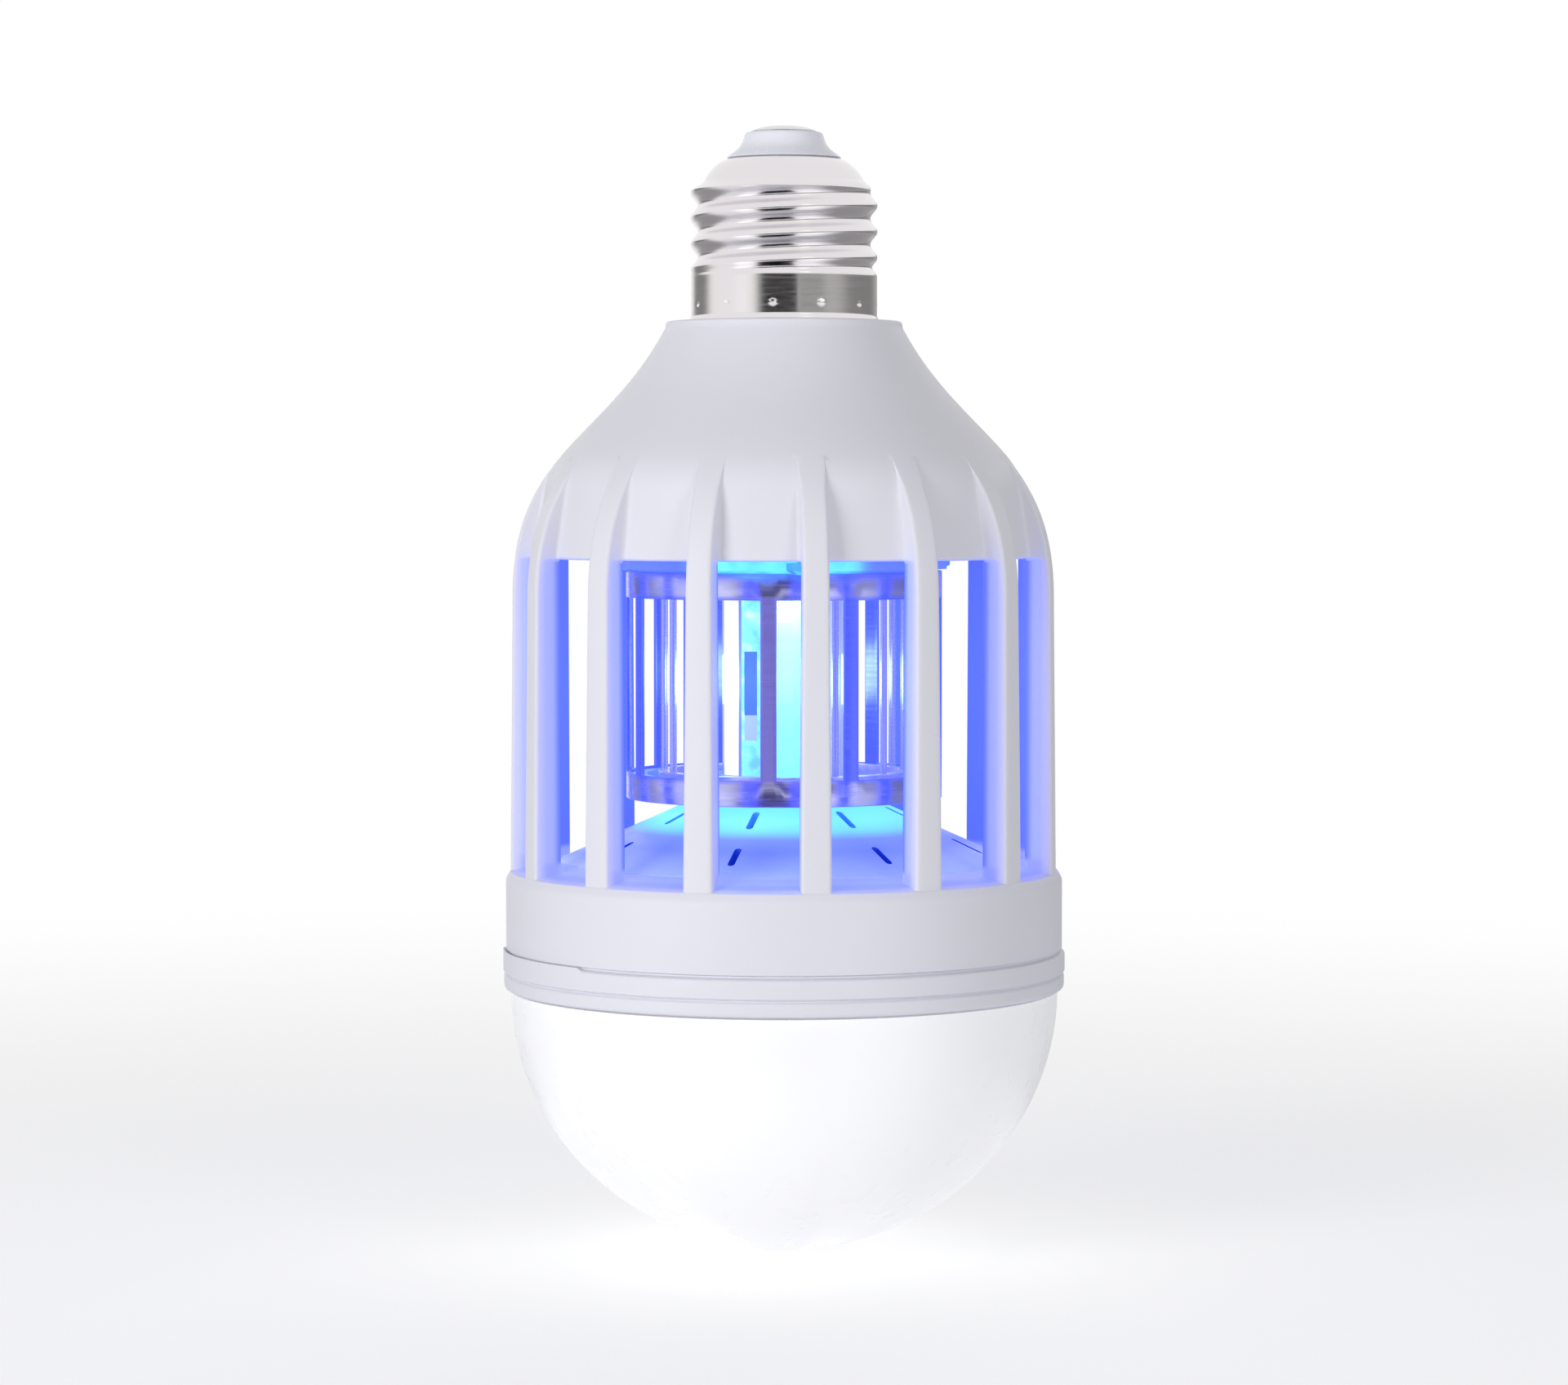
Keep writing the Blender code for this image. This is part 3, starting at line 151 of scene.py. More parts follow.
# Lamp ring and diffuser
RING_TOP = COLLAR_BASE - 0.0003
RING_BASE = RING_TOP - 0.0053
RING_SEAT = COLLAR_BASE - 0.00005
RING_BORE = 0.0381
BEAD_RADIUS = 0.0397
BEAD_GROOVE = RING_TOP - 0.0031
LOWER_BEAD_RADIUS = 0.0396
SEAM_START = math.radians(-44)
SEAM_LENGTH = 0.9
DIFFUSER_RADIUS = 0.0387
DIFFUSER_TOP = RING_BASE - 0.0003
DIFFUSER_DEPTH = 0.03689
DIFFUSER_WALL = 0.0016
DIFFUSER_ROWS = 48
DIFFUSER_COLUMNS = 192

# Tray
TRAY_RADIUS = 0.0317
TRAY_SLOPE = 0.45
TRAY_BOSS_RADIUS = 0.0124
TRAY_CROWN = SILL_TOP + (TRAY_RADIUS - TRAY_BOSS_RADIUS) * TRAY_SLOPE
TRAY_BORE = 0.0028
TRAY_THICKNESS = 0.0016
TRAY_RIM_RADIUS = 0.0355
TRAY_RIM_TOP = SILL_BASE - 0.0003
TRAY_RIM_BASE = TRAY_RIM_TOP - 0.0012
SLOT_COUNT = 8
SLOT_PHASE = math.radians(-14.7)
SLOT_WIDTH = 0.0010
SLOT_LENGTH = 0.0045
SLOT_STARTS = (0.0147, 0.0242)
TRAY_COLUMNS = 160
TRAY_SHADOW_RADIUS = 0.0205

# Grids, their holders and the violet lamp
GRID_RADIUS = 0.0223
GRID_SHEET = 0.0005
GRID_BARS = 12
GRID_PHASE = math.radians(-5.5)
GRID_BAR_WIDTH = 0.00225
GRID_RING_HEIGHT = 0.0037
GRID_TOP = WINDOW_TOP - 0.0018
GRID_BASE = SILL_TOP + (TRAY_RADIUS - GRID_RADIUS) * TRAY_SLOPE + 0.0046
INNER_GRID_RADIUS = 0.0170
INNER_WIRE_RADIUS = 0.0005
INNER_RING_HALF_WIDTH = 0.0008
INNER_RING_HEIGHT = 0.0020
TUBE_RADIUS = 0.0087
STRIP_EDGE = (-0.0030, -0.0024)
STRIP_HEIGHTS = (-0.0860, -0.0600)
CHIP_SIDES = (-0.0056, -0.0038)
CHIP_HEIGHTS = (-0.0828, -0.0738)
CHIP_FOOT = (-0.0864, -0.0828)

# Camera and studio
CAMERA_PLACE = (0.0, -0.626, -0.0502)
CAMERA_TARGET = (0.0, 0.0, -0.0796)
CAMERA_LENS = 101.8
GLOW_COUNT = 6
GLOW_RADIUS = 0.0125
GLOW_HEIGHT = -0.078
LAMP_TARGET = (0.0, 0.0, -0.09)
CARD_RADIUS = 0.95
CARD_MIDDLE = -0.02
CARD_STEPS = 24
CARD_MARGIN = 0.06
CARD_SOFTNESS = 0.05
FLOOR_GREY = (0.60, 0.60, 0.61)
FLOOR_FADE = (0.10, 0.55)
FLOOR_REACH = 20.0


def placed(radius, angle, height):
    """The point at a radius, an angle from the front and a height."""
    return Vector((radius * math.sin(angle), -radius * math.cos(angle), height))


def add_piece(name, mesh, material, slot, *nodes):
    """A piece of the bulb, smooth but for its sharp edges, in place of the CAD nodes that it names."""
    mesh.materials.append(material)
    mesh.shade_smooth()
    mesh.set_sharp_from_angle(angle=SHARP_ANGLE)
    piece = bpy.data.objects.new(name, mesh)
    bpy.context.scene.collection.objects.link(piece)
    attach(piece, "root")
    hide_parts(*nodes)
    return piece


def mesh_of(name, points, faces):
    """A mesh from points and faces, with doubled points merged."""
    mesh = bpy.data.meshes.new(name)
    mesh.from_pydata(points, [], faces)
    bm = bmesh.new()
    bm.from_mesh(mesh)
    bmesh.ops.remove_doubles(bm, verts=bm.verts, dist=MERGE_DISTANCE)
    bm.to_mesh(mesh)
    bm.free()
    return mesh


def rounded(corners, steps=4):
    """A closed profile from (radius, height, fillet) corners."""
    points = []
    for i, (radius, height, fillet) in enumerate(corners):
        here = Vector((radius, height))
        if fillet == 0:
            points.append(here)
            continue
        back = Vector(corners[i - 1][:2]) - here
        ahead = Vector(corners[(i + 1) % len(corners)][:2]) - here
        reach = min(fillet / math.tan(back.angle(ahead) / 2), back.length * 0.48, ahead.length * 0.48)
        start = here + back.normalized() * reach
        end = here + ahead.normalized() * reach
        for k in range(steps + 1):
            points.append(along((start, here, end), k / steps))
    return points


def along(points, share):
    """The point at a share of a Bezier curve."""
    level = [Vector(point) for point in points]
    while len(level) > 1:
        level = [a.lerp(b, share) for a, b in zip(level, level[1:])]
    return level[0]


def turned_mesh(name, profile, steps=192, closed=True, phase=0.0, shape=None):
    """A turned mesh, from (radius, height) points that run down its outer side.

    shape(angle, point) may move a point.
    """
    count = len(profile)
    points = []
    faces = []
    for k in range(steps):
        angle = phase + TURN * k / steps
        for radius, height in profile:
            if shape is not None:
                radius, height = shape(angle, (radius, height))
            points.append(placed(radius, angle, height))
    for k in range(steps):
        here = k * count
        ahead = (k + 1) % steps * count
        for i in range(count if closed else count - 1):
            j = (i + 1) % count
            faces.append((here + i, here + j, ahead + j, ahead + i))
    return mesh_of(name, points, faces)


def dome_curve(share):
    """A point of the dome's outline: one S curve from the neck's edge to the widest height."""
    start = Vector((NECK_RADIUS, NECK_TOP - NECK_EDGE))
    end = Vector((CAGE_RADIUS, DOME_BASE))
    flare = Vector((math.sin(NECK_FLARE), -math.cos(NECK_FLARE)))
    return along((start, start + flare * NECK_EASE, end + Vector((0.0, SHOULDER_EASE)), end), share)


def panel_curve(share):
    """A point of the outline of a panel between two ribs."""
    start = Vector((rib_radius(PANEL_TOP), PANEL_TOP))
    end = Vector((PANEL_RADIUS, WINDOW_TOP))
    bend = start + (end - start) * PANEL_BEND + Vector((PANEL_BULGE, 0.0))
    return along((start, bend, end), share)


def radius_table(curve):
    """A curve's radius as a function of height, for numpy's interpolation."""
    points = sorted((tuple(curve(i / 400)) for i in range(401)), key=lambda point: point[1])
    return [point[1] for point in points], [point[0] for point in points]


dome_table = radius_table(dome_curve)


def rib_radius(height):
    """The outer radius of a rib, and of the dome above the ribs."""
    if height > DOME_BASE:
        return float(np.interp(height, *dome_table))
    share = (DOME_BASE - height) / (DOME_BASE - WINDOW_BASE)
    return CAGE_RADIUS + (CAGE_FOOT_RADIUS - CAGE_RADIUS) * share


panel_table = radius_table(panel_curve)


def panel_depth(height):
    """How far a panel falls back behind the ribs at a height: softly at first, so that no crease shows."""
    below = PANEL_TOP - height
    if below <= -PANEL_START:
        return 0.0
    sure = min(height, PANEL_TOP - PANEL_EASE)
    depth = rib_radius(sure) - float(np.interp(sure, *panel_table))
    if below < PANEL_EASE:
        depth *= ((below + PANEL_START) / (PANEL_EASE + PANEL_START)) ** PANEL_SOFTNESS
    roll = max(0.0, WINDOW_TOP + RIB_EDGE - height) / RIB_EDGE
    return depth + RIB_EDGE * (1.0 - math.sqrt(max(0.0, 1.0 - roll * roll)))


def rib_section(height):
    """Half a rib's section at a height: (sideways, depth, in the rib) from its middle to the panel's middle."""
    rise = (height - WINDOW_BASE) / (WINDOW_TOP - WINDOW_BASE)
    half = (RIB_WIDTH_FOOT + (RIB_WIDTH_TOP - RIB_WIDTH_FOOT) * min(max(rise, 0.0), 1.0)) / 2
    depth = panel_depth(height) if height >= WINDOW_TOP else RIB_EDGE * 4
    edge = min(RIB_EDGE, depth / 2)
    fillet = min(RIB_FILLET, depth / 2)
    section = [(half * share, 0.0, True) for share in (0.0, 0.25, 0.5)]
    for k in range(6):
        turn = math.pi / 2 * k / 5
        section.append((half - edge * (1 - math.sin(turn)), edge * (1 - math.cos(turn)), True))
    for k in range(5):
        turn = math.pi / 2 * k / 4
        section.append((half + fillet * (1 - math.cos(turn)), depth - fillet * (1 - math.sin(turn)), False))
    return section, half + fillet, depth


def housing_row(height):
    """All the points of the housing's outer skin at a height, and whether each belongs to a rib."""
    section, panel_start, depth = rib_section(height)
    outer = rib_radius(height)
    row = []
    spacing = TURN / RIB_COUNT
    for k in range(RIB_COUNT):
        middle = RIB_PHASE + spacing * k
        side = [(middle + s / (outer - d), outer - d, in_rib) for s, d, in_rib in section]
        mirrored = [(2 * middle - angle, radius, in_rib) for angle, radius, in_rib in reversed(side[1:])]
        row += mirrored + side
        start = panel_start / (outer - depth)
        for i in range(PANEL_COLUMNS):
            share = (i + 1) / (PANEL_COLUMNS + 1)
            row.append((middle + start + (spacing - 2 * start) * share, outer - depth, False))
    return row


def spread(low, high, count):
    """Numbers spaced evenly from one to another, both included."""
    return [low + (high - low) * i / (count - 1) for i in range(count)]


def housing_mesh():
    """Dome, flutes and ribs as one skin, with the ribs' inner sides and the panels' lower edges."""
    points = []
    faces = []

    def add_row(row, height):
        first = len(points)
        points.extend(placed(radius, angle, height) for angle, radius, _ in row)
        return list(range(first, len(points)))

    heights = spread(NECK_TOP - NECK_EDGE, PANEL_TOP, DOME_ROWS)
    heights += spread(PANEL_TOP, WINDOW_TOP + RIB_EDGE, FLUTE_ROWS)[1:]
    for k in range(EDGE_ROWS):
        heights.append(WINDOW_TOP + RIB_EDGE * (1 - math.sin(math.pi / 2 * (k + 1) / EDGE_ROWS)))
    rows = [housing_row(height) for height in heights]
    rings = [add_row(row, height) for row, height in zip(rows, heights)]
    count = len(rows[0])
    for upper, lower in zip(rings, rings[1:]):
        for i in range(count):
            j = (i + 1) % count
            faces.append((upper[i], lower[i], lower[j], upper[j]))

    # The ribs go on down through the windows
    last_row = rows[-1]
    in_rib = [entry[2] for entry in last_row]
    window_heights = spread(WINDOW_TOP, DOME_BASE, UPPER_RIB_ROWS)[1:]
    window_heights += spread(DOME_BASE, WINDOW_BASE - 0.0008, LOWER_RIB_ROWS)[1:]
    ring = rings[-1]
    inner = inner_top = add_inner_rib(points, last_row, WINDOW_TOP)
    for height in window_heights:
        row = housing_row(height)
        below = add_row(row, height)
        inner_below = add_inner_rib(points, row, height)
        for i in range(count):
            j = (i + 1) % count
            if in_rib[i] and in_rib[j]:
                faces.append((ring[i], below[i], below[j], ring[j]))
                faces.append((inner[j], inner_below[j], inner_below[i], inner[i]))
            elif in_rib[i]:
                faces.append((ring[i], below[i], inner_below[i], inner[i]))
            elif in_rib[j]:
                faces.append((inner[j], inner_below[j], below[j], ring[j]))
        ring = below
        inner = inner_below

    # The lower face of the dome's wall, above the windows
    lip = [(angle, PANEL_RADIUS - WALL, False) for angle, _, _ in last_row]
    under = add_row(lip, WINDOW_TOP)
    upper = add_row([(angle, PANEL_RADIUS - WALL * 1.5, False) for angle, _, _ in last_row], WINDOW_TOP + WALL)
    for i in range(count):
        j = (i + 1) % count
        edge = inner_top if in_rib[i] and in_rib[j] else rings[-1]
        faces.append((edge[i], under[i], under[j], edge[j]))
        faces.append((under[i], upper[i], upper[j], under[j]))

    # The neck's rounded edge and its flat top round the screw shell
    edge = rounded(
        [
            (NECK_RADIUS, NECK_TOP - NECK_EDGE, 0),
            (NECK_RADIUS - 0.0001, NECK_TOP, NECK_EDGE),
            (NECK_BORE, NECK_TOP, 0),
        ],
        6,
    )
    ring = rings[0]
    for radius, height in edge[1:]:
        above = add_row([(angle, radius, False) for angle, _, _ in rows[0]], height)
        for i in range(count):
            j = (i + 1) % count
            faces.append((above[i], ring[i], ring[j], above[j]))
        ring = above
    return points, faces


def add_inner_rib(points, row, height):
    """The inner side of the ribs at a height, one point for each point of the outer skin."""
    first = len(points)
    for angle, radius, in_rib in row:
        points.append(placed(RIB_INNER_RADIUS if in_rib else radius, angle, height))
    return list(range(first, len(points)))


def collar_profile():
    """The collar's section, from its sill down its outer side."""
    return rounded(
        [
            (SILL_RADIUS, SILL_TOP, 0.0003),
            (CAGE_FOOT_RADIUS + 0.0001, WINDOW_BASE, 0.0004),
            (COLLAR_RADIUS, WINDOW_BASE - 0.0011, 0.0012),
            (COLLAR_RADIUS, COLLAR_BASE, 0.0002),
            (COLLAR_BORE, COLLAR_BASE, 0),
            (COLLAR_BORE, SILL_BASE, 0),
            (SILL_RADIUS, SILL_BASE, 0),
        ]
    )


def shell_radius(angle, height):
    """The shell's radius: a right-hand thread that fades into its shoulder and its skirt."""
    around = angle - math.pi / 2
    wave = (1 + math.cos(TURN * (height - THREAD_TOP) / THREAD_PITCH - around - THREAD_PHASE)) / 2
    thread = THREAD_RADIUS - THREAD_DEPTH * (1 - wave)
    fade = min(max((THREAD_BASE + THREAD_PITCH / 2 - height) / (THREAD_PITCH / 2), 0.0), 1.0)
    fade = fade * fade * (3 - 2 * fade)
    return thread + (SKIRT_RADIUS - thread) * fade


def crimp_depth(angle, height):
    """How deep a punched crimp is at a point of the skirt: a small star with a pit in its middle."""
    step = TURN / CRIMP_COUNT
    turn = (angle - CRIMP_PHASE + step / 2) % step - step / 2
    side = turn * SKIRT_RADIUS
    rise = height - CRIMP_HEIGHT
    away = math.hypot(side, rise)
    star = 1.0 + 0.12 * math.cos(4 * math.atan2(rise, side))
    wide = 0.35 * math.exp(-((away / (CRIMP_SPREAD * star)) ** 2))
    pit = 0.65 * math.exp(-((away / CRIMP_PIT) ** 2))
    return CRIMP_DEPTH * (wide + pit)


def shell_shape(angle, point):
    """Rolls the thread and punches the crimps at one point of the turned shell."""
    radius, height = point
    if height > SHOULDER_BASE:
        return radius, height
    if radius < SKIRT_RADIUS - THREAD_DEPTH * 1.2:
        return radius, height
    rolled = shell_radius(angle, height) - crimp_depth(angle, height)
    turned_out = min(max(0.0, (SHELL_BASE + SKIRT_ROLL - height) / SKIRT_ROLL), 1.0)
    rolled += SKIRT_LIP * turned_out**2
    if height > THREAD_TOP:
        share = (SHOULDER_BASE - height) / (SHOULDER_BASE - THREAD_TOP)
        return SHOULDER_RADIUS + (rolled - SHOULDER_RADIUS) * share, height
    return rolled, height


def shell_profile():
    """The shell before its thread is rolled: rim, shoulder, threaded length, skirt and its turned-out edge."""
    profile = [(SHELL_RIM_RADIUS, SHELL_TOP - 0.0002), (SHELL_RIM_RADIUS + 0.0001, SHELL_TOP)]
    reach = SHOULDER_RADIUS - INSULATOR_RADIUS
    for i in range(SHOULDER_ROWS + 1):
        share = i / SHOULDER_ROWS
        out = share + (math.sin(math.pi / 2 * share) - share) * SHOULDER_FULLNESS
        down = share + (1 - math.cos(math.pi / 2 * share) - share) * SHOULDER_FULLNESS
        profile.append((INSULATOR_RADIUS + reach * out, SHELL_TOP - SHOULDER_HEIGHT * down))
    heights = spread(SHOULDER_BASE - 0.0001, THREAD_TOP, FADE_ROWS)
    heights += spread(THREAD_TOP, THREAD_BASE, THREAD_ROWS)[1:]
    heights += spread(THREAD_BASE, SHELL_BASE + SKIRT_ROLL, SKIRT_ROWS)[1:]
    heights += spread(SHELL_BASE + SKIRT_ROLL, SHELL_BASE, LIP_ROWS)[1:]
    profile += [(SKIRT_RADIUS, height) for height in heights]
    profile += [(SKIRT_RADIUS, SHELL_SEAT), (SKIRT_RADIUS - THREAD_DEPTH * 1.3, SHELL_SEAT)]
    return profile


def diffuser_profile():
    """The diffuser: half an ellipse outside and another inside, a wall's thickness apart."""
    outer = []
    inner = []
    for i in range(DIFFUSER_ROWS + 1):
        turn = math.pi / 2 * i / DIFFUSER_ROWS
        outer.append((DIFFUSER_RADIUS * math.cos(turn), DIFFUSER_TOP - DIFFUSER_DEPTH * math.sin(turn)))
        depth = (DIFFUSER_DEPTH - DIFFUSER_WALL) * math.sin(turn)
        inner.append(((DIFFUSER_RADIUS - DIFFUSER_WALL) * math.cos(turn), DIFFUSER_TOP - depth))
    return inner[::-3] + outer


def ring_shape(angle, point):
    """Closes the seam over the ring's upper bead along a stretch that ends in a step."""
    radius, height = point
    turn = (angle - SEAM_START + math.pi) % TURN - math.pi
    closed = min(max(-turn * 60, 0.0), 1.0) * min(max((turn + SEAM_LENGTH) * 8, 0.0), 1.0)
    if height > RING_TOP - 0.0010 and radius > COLLAR_RADIUS - 0.0003:
        radius += (BEAD_RADIUS - radius) * closed
        height += (RING_SEAT - height) * closed * (height > RING_TOP - 0.0004)
    return radius, height


def ring_profile():
    """The lamp ring's outside: a round-edged bead, a groove and a lower bead."""
    return rounded(
        [
            (COLLAR_BORE - 0.0002, RING_SEAT, 0),
            (COLLAR_RADIUS - 0.0005, RING_SEAT, 0),
            (COLLAR_RADIUS - 0.0004, RING_TOP, 0),
            (BEAD_RADIUS, RING_TOP - 0.0003, 0.0004),
            (BEAD_RADIUS, BEAD_GROOVE + 0.0003, 0.0003),
            (COLLAR_RADIUS - 0.0003, BEAD_GROOVE, 0.0001),
            (LOWER_BEAD_RADIUS, BEAD_GROOVE - 0.0003, 0.0003),
            (LOWER_BEAD_RADIUS, RING_BASE, 0.0007),
            (RING_BORE, RING_BASE, 0),
        ]
    )


def tray_profile():
    """The tray's section: a cone with a flat crown, a turned-down edge and a rim."""
    under = TRAY_RADIUS - TRAY_THICKNESS
    return rounded(
        [
            (TRAY_BORE, TRAY_CROWN, 0),
            (TRAY_BOSS_RADIUS, TRAY_CROWN, 0.0008),
            (TRAY_RADIUS, SILL_TOP, 0.0003),
            (TRAY_RADIUS, TRAY_RIM_TOP, 0),
            (TRAY_RIM_RADIUS, TRAY_RIM_TOP, 0),
            (TRAY_RIM_RADIUS, TRAY_RIM_BASE, 0),
            (under, TRAY_RIM_BASE, 0),
            (under, SILL_TOP - TRAY_THICKNESS, 0.0005),
            (TRAY_BOSS_RADIUS, TRAY_CROWN - TRAY_THICKNESS, 0.0008),
            (TRAY_BORE, TRAY_CROWN - TRAY_THICKNESS, 0),
        ]
    )


def slot_cutter():
    """Round-ended upright prisms, one for each slot of the tray."""
    bm = bmesh.new()
    for start in SLOT_STARTS:
        for k in range(SLOT_COUNT):
            angle = SLOT_PHASE + TURN * k / SLOT_COUNT
            outline = []
            for end, turn in ((SLOT_LENGTH - SLOT_WIDTH / 2, -math.pi / 2), (SLOT_WIDTH / 2, math.pi / 2)):
                for i in range(7):
                    bend = turn + math.pi * i / 6
                    reach = start + end + SLOT_WIDTH / 2 * math.cos(bend)
                    side = SLOT_WIDTH / 2 * math.sin(bend)
                    outline.append(placed(reach, angle, 0.0) + placed(side, angle + math.pi / 2, 0.0))
            rings = []
            for height in (TRAY_RIM_BASE, TRAY_CROWN + TRAY_THICKNESS):
                rings.append([bm.verts.new((point.x, point.y, height)) for point in outline])
            for i in range(len(outline)):
                j = (i + 1) % len(outline)
                bm.faces.new((rings[0][i], rings[0][j], rings[1][j], rings[1][i]))
            bm.faces.new(rings[1])
            bm.faces.new(rings[0][::-1])
    bmesh.ops.recalc_face_normals(bm, faces=bm.faces)
    mesh = bpy.data.meshes.new("slots")
    bm.to_mesh(mesh)
    bm.free()
    return mesh


def cut(mesh, cutter):
    """The mesh with another cut out of it."""
    body = bpy.data.objects.new("body", mesh)
    tool = bpy.data.objects.new("tool", cutter)
    for helper in (body, tool):
        bpy.context.scene.collection.objects.link(helper)
    modifier = body.modifiers.new("cut", "BOOLEAN")
    modifier.object = tool
    modifier.operation = "DIFFERENCE"
    modifier.solver = "EXACT"
    bpy.context.view_layer.update()
    made = bpy.data.meshes.new_from_object(body.evaluated_get(bpy.context.evaluated_depsgraph_get()))
    for helper in (body, tool):
        bpy.data.objects.remove(helper)
    return made


def grid_mesh():
    """The outer grid's sheet: two rings and the bars between them, before it has its thickness."""
    heights = [GRID_TOP, GRID_TOP - GRID_RING_HEIGHT, GRID_BASE + GRID_RING_HEIGHT, GRID_BASE]
    half = GRID_BAR_WIDTH / 2 / GRID_RADIUS
    step = TURN / GRID_BARS
    angles = []
    for k in range(GRID_BARS):
        middle = GRID_PHASE + step * k
        angles += [(middle + share * half, True) for share in (-1, -0.5, 0, 0.5)]
        gap = step - 2 * half
        angles += [(middle + half + gap * i / 8, False) for i in range(8)]
    points = []
    faces = []
    for angle, _ in angles:
        points += [placed(GRID_RADIUS, angle, height) for height in heights]
    for k, (_, is_bar) in enumerate(angles):
        here = k * 4
        ahead = (k + 1) % len(angles) * 4
        for i in (0, 1, 2) if is_bar else (0, 2):
            faces.append((here + i, here + i + 1, ahead + i + 1, ahead + i))
    return mesh_of("outer_grid_sheet", points, faces)


def inner_grid_mesh():
    """The inner grid: upright wires let into two rings."""
    low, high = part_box("inner_grid")
    points = []
    faces = []

    def add(mesh):
        first = len(points)
        points.extend(vertex.co.copy() for vertex in mesh.vertices)
        faces.extend([first + i for i in polygon.vertices] for polygon in mesh.polygons)

    outer = INNER_GRID_RADIUS + INNER_RING_HALF_WIDTH
    inner = INNER_GRID_RADIUS - INNER_RING_HALF_WIDTH
    for top in (high.z, low.z + INNER_RING_HEIGHT):
        base = top - INNER_RING_HEIGHT
        section = rounded([(outer, top, 0.0002), (outer, base, 0.0002), (inner, base, 0.0002), (inner, top, 0.0002)], 2)
        add(turned_mesh("ring", section, 96))
    for k in range(GRID_BARS):
        centre = placed(INNER_GRID_RADIUS, GRID_PHASE + TURN * k / GRID_BARS, 0.0)
        rod = turned_mesh("wire", [(INNER_WIRE_RADIUS, high.z - 0.001), (INNER_WIRE_RADIUS, low.z + 0.001)], 16, False)
        rod.transform(Matrix.Translation(centre))
        add(rod)
    mesh = bpy.data.meshes.new("inner_grid_wires")
    mesh.from_pydata(points, [], faces)
    return mesh


class Nodes:
    """Short calls that add nodes to a tree."""

    def __init__(self, tree):
        self.nodes = tree.nodes
        self.links = tree.links

    def put(self, socket, value):
        """Links a node's output to a socket, or sets a plain value there."""
        if isinstance(value, bpy.types.NodeSocket):
            self.links.new(value, socket)
        else:
            socket.default_value = value

    def math(self, operation, first, second=0.0):
        """The result of a sum, product or comparison."""
        node = self.nodes.new("ShaderNodeMath")
        node.operation = operation
        self.put(node.inputs[0], first)
        self.put(node.inputs[1], second)
        return node.outputs[0]

    def part(self, vector, name):
        """One coordinate of a vector."""
        node = self.nodes.new("ShaderNodeSeparateXYZ")
        self.links.new(vector, node.inputs[0])
        return node.outputs[name]

    def remap(self, value, start, end, low, high, kind="LINEAR"):
        """A value that goes from low to high while another goes from start to end."""
        node = self.nodes.new("ShaderNodeMapRange")
        node.interpolation_type = kind
        self.put(node.inputs["Value"], value)
        for name, number in (("From Min", start), ("From Max", end), ("To Min", low), ("To Max", high)):
            self.put(node.inputs[name], number)
        return node.outputs["Result"]

    def ease(self, value, start, end, low=0.0, high=1.0):
        """The same, with a soft start and end."""
        return self.remap(value, start, end, low, high, "SMOOTHSTEP")

    def rays(self, *kinds):
        """1 for the named kinds of ray, and 0 for all others."""
        paths = self.nodes.new("ShaderNodeLightPath")
        share = paths.outputs[f"Is {kinds[0]} Ray"]
        for kind in kinds[1:]:
            share = self.math("MAXIMUM", share, paths.outputs[f"Is {kind} Ray"])
        return share


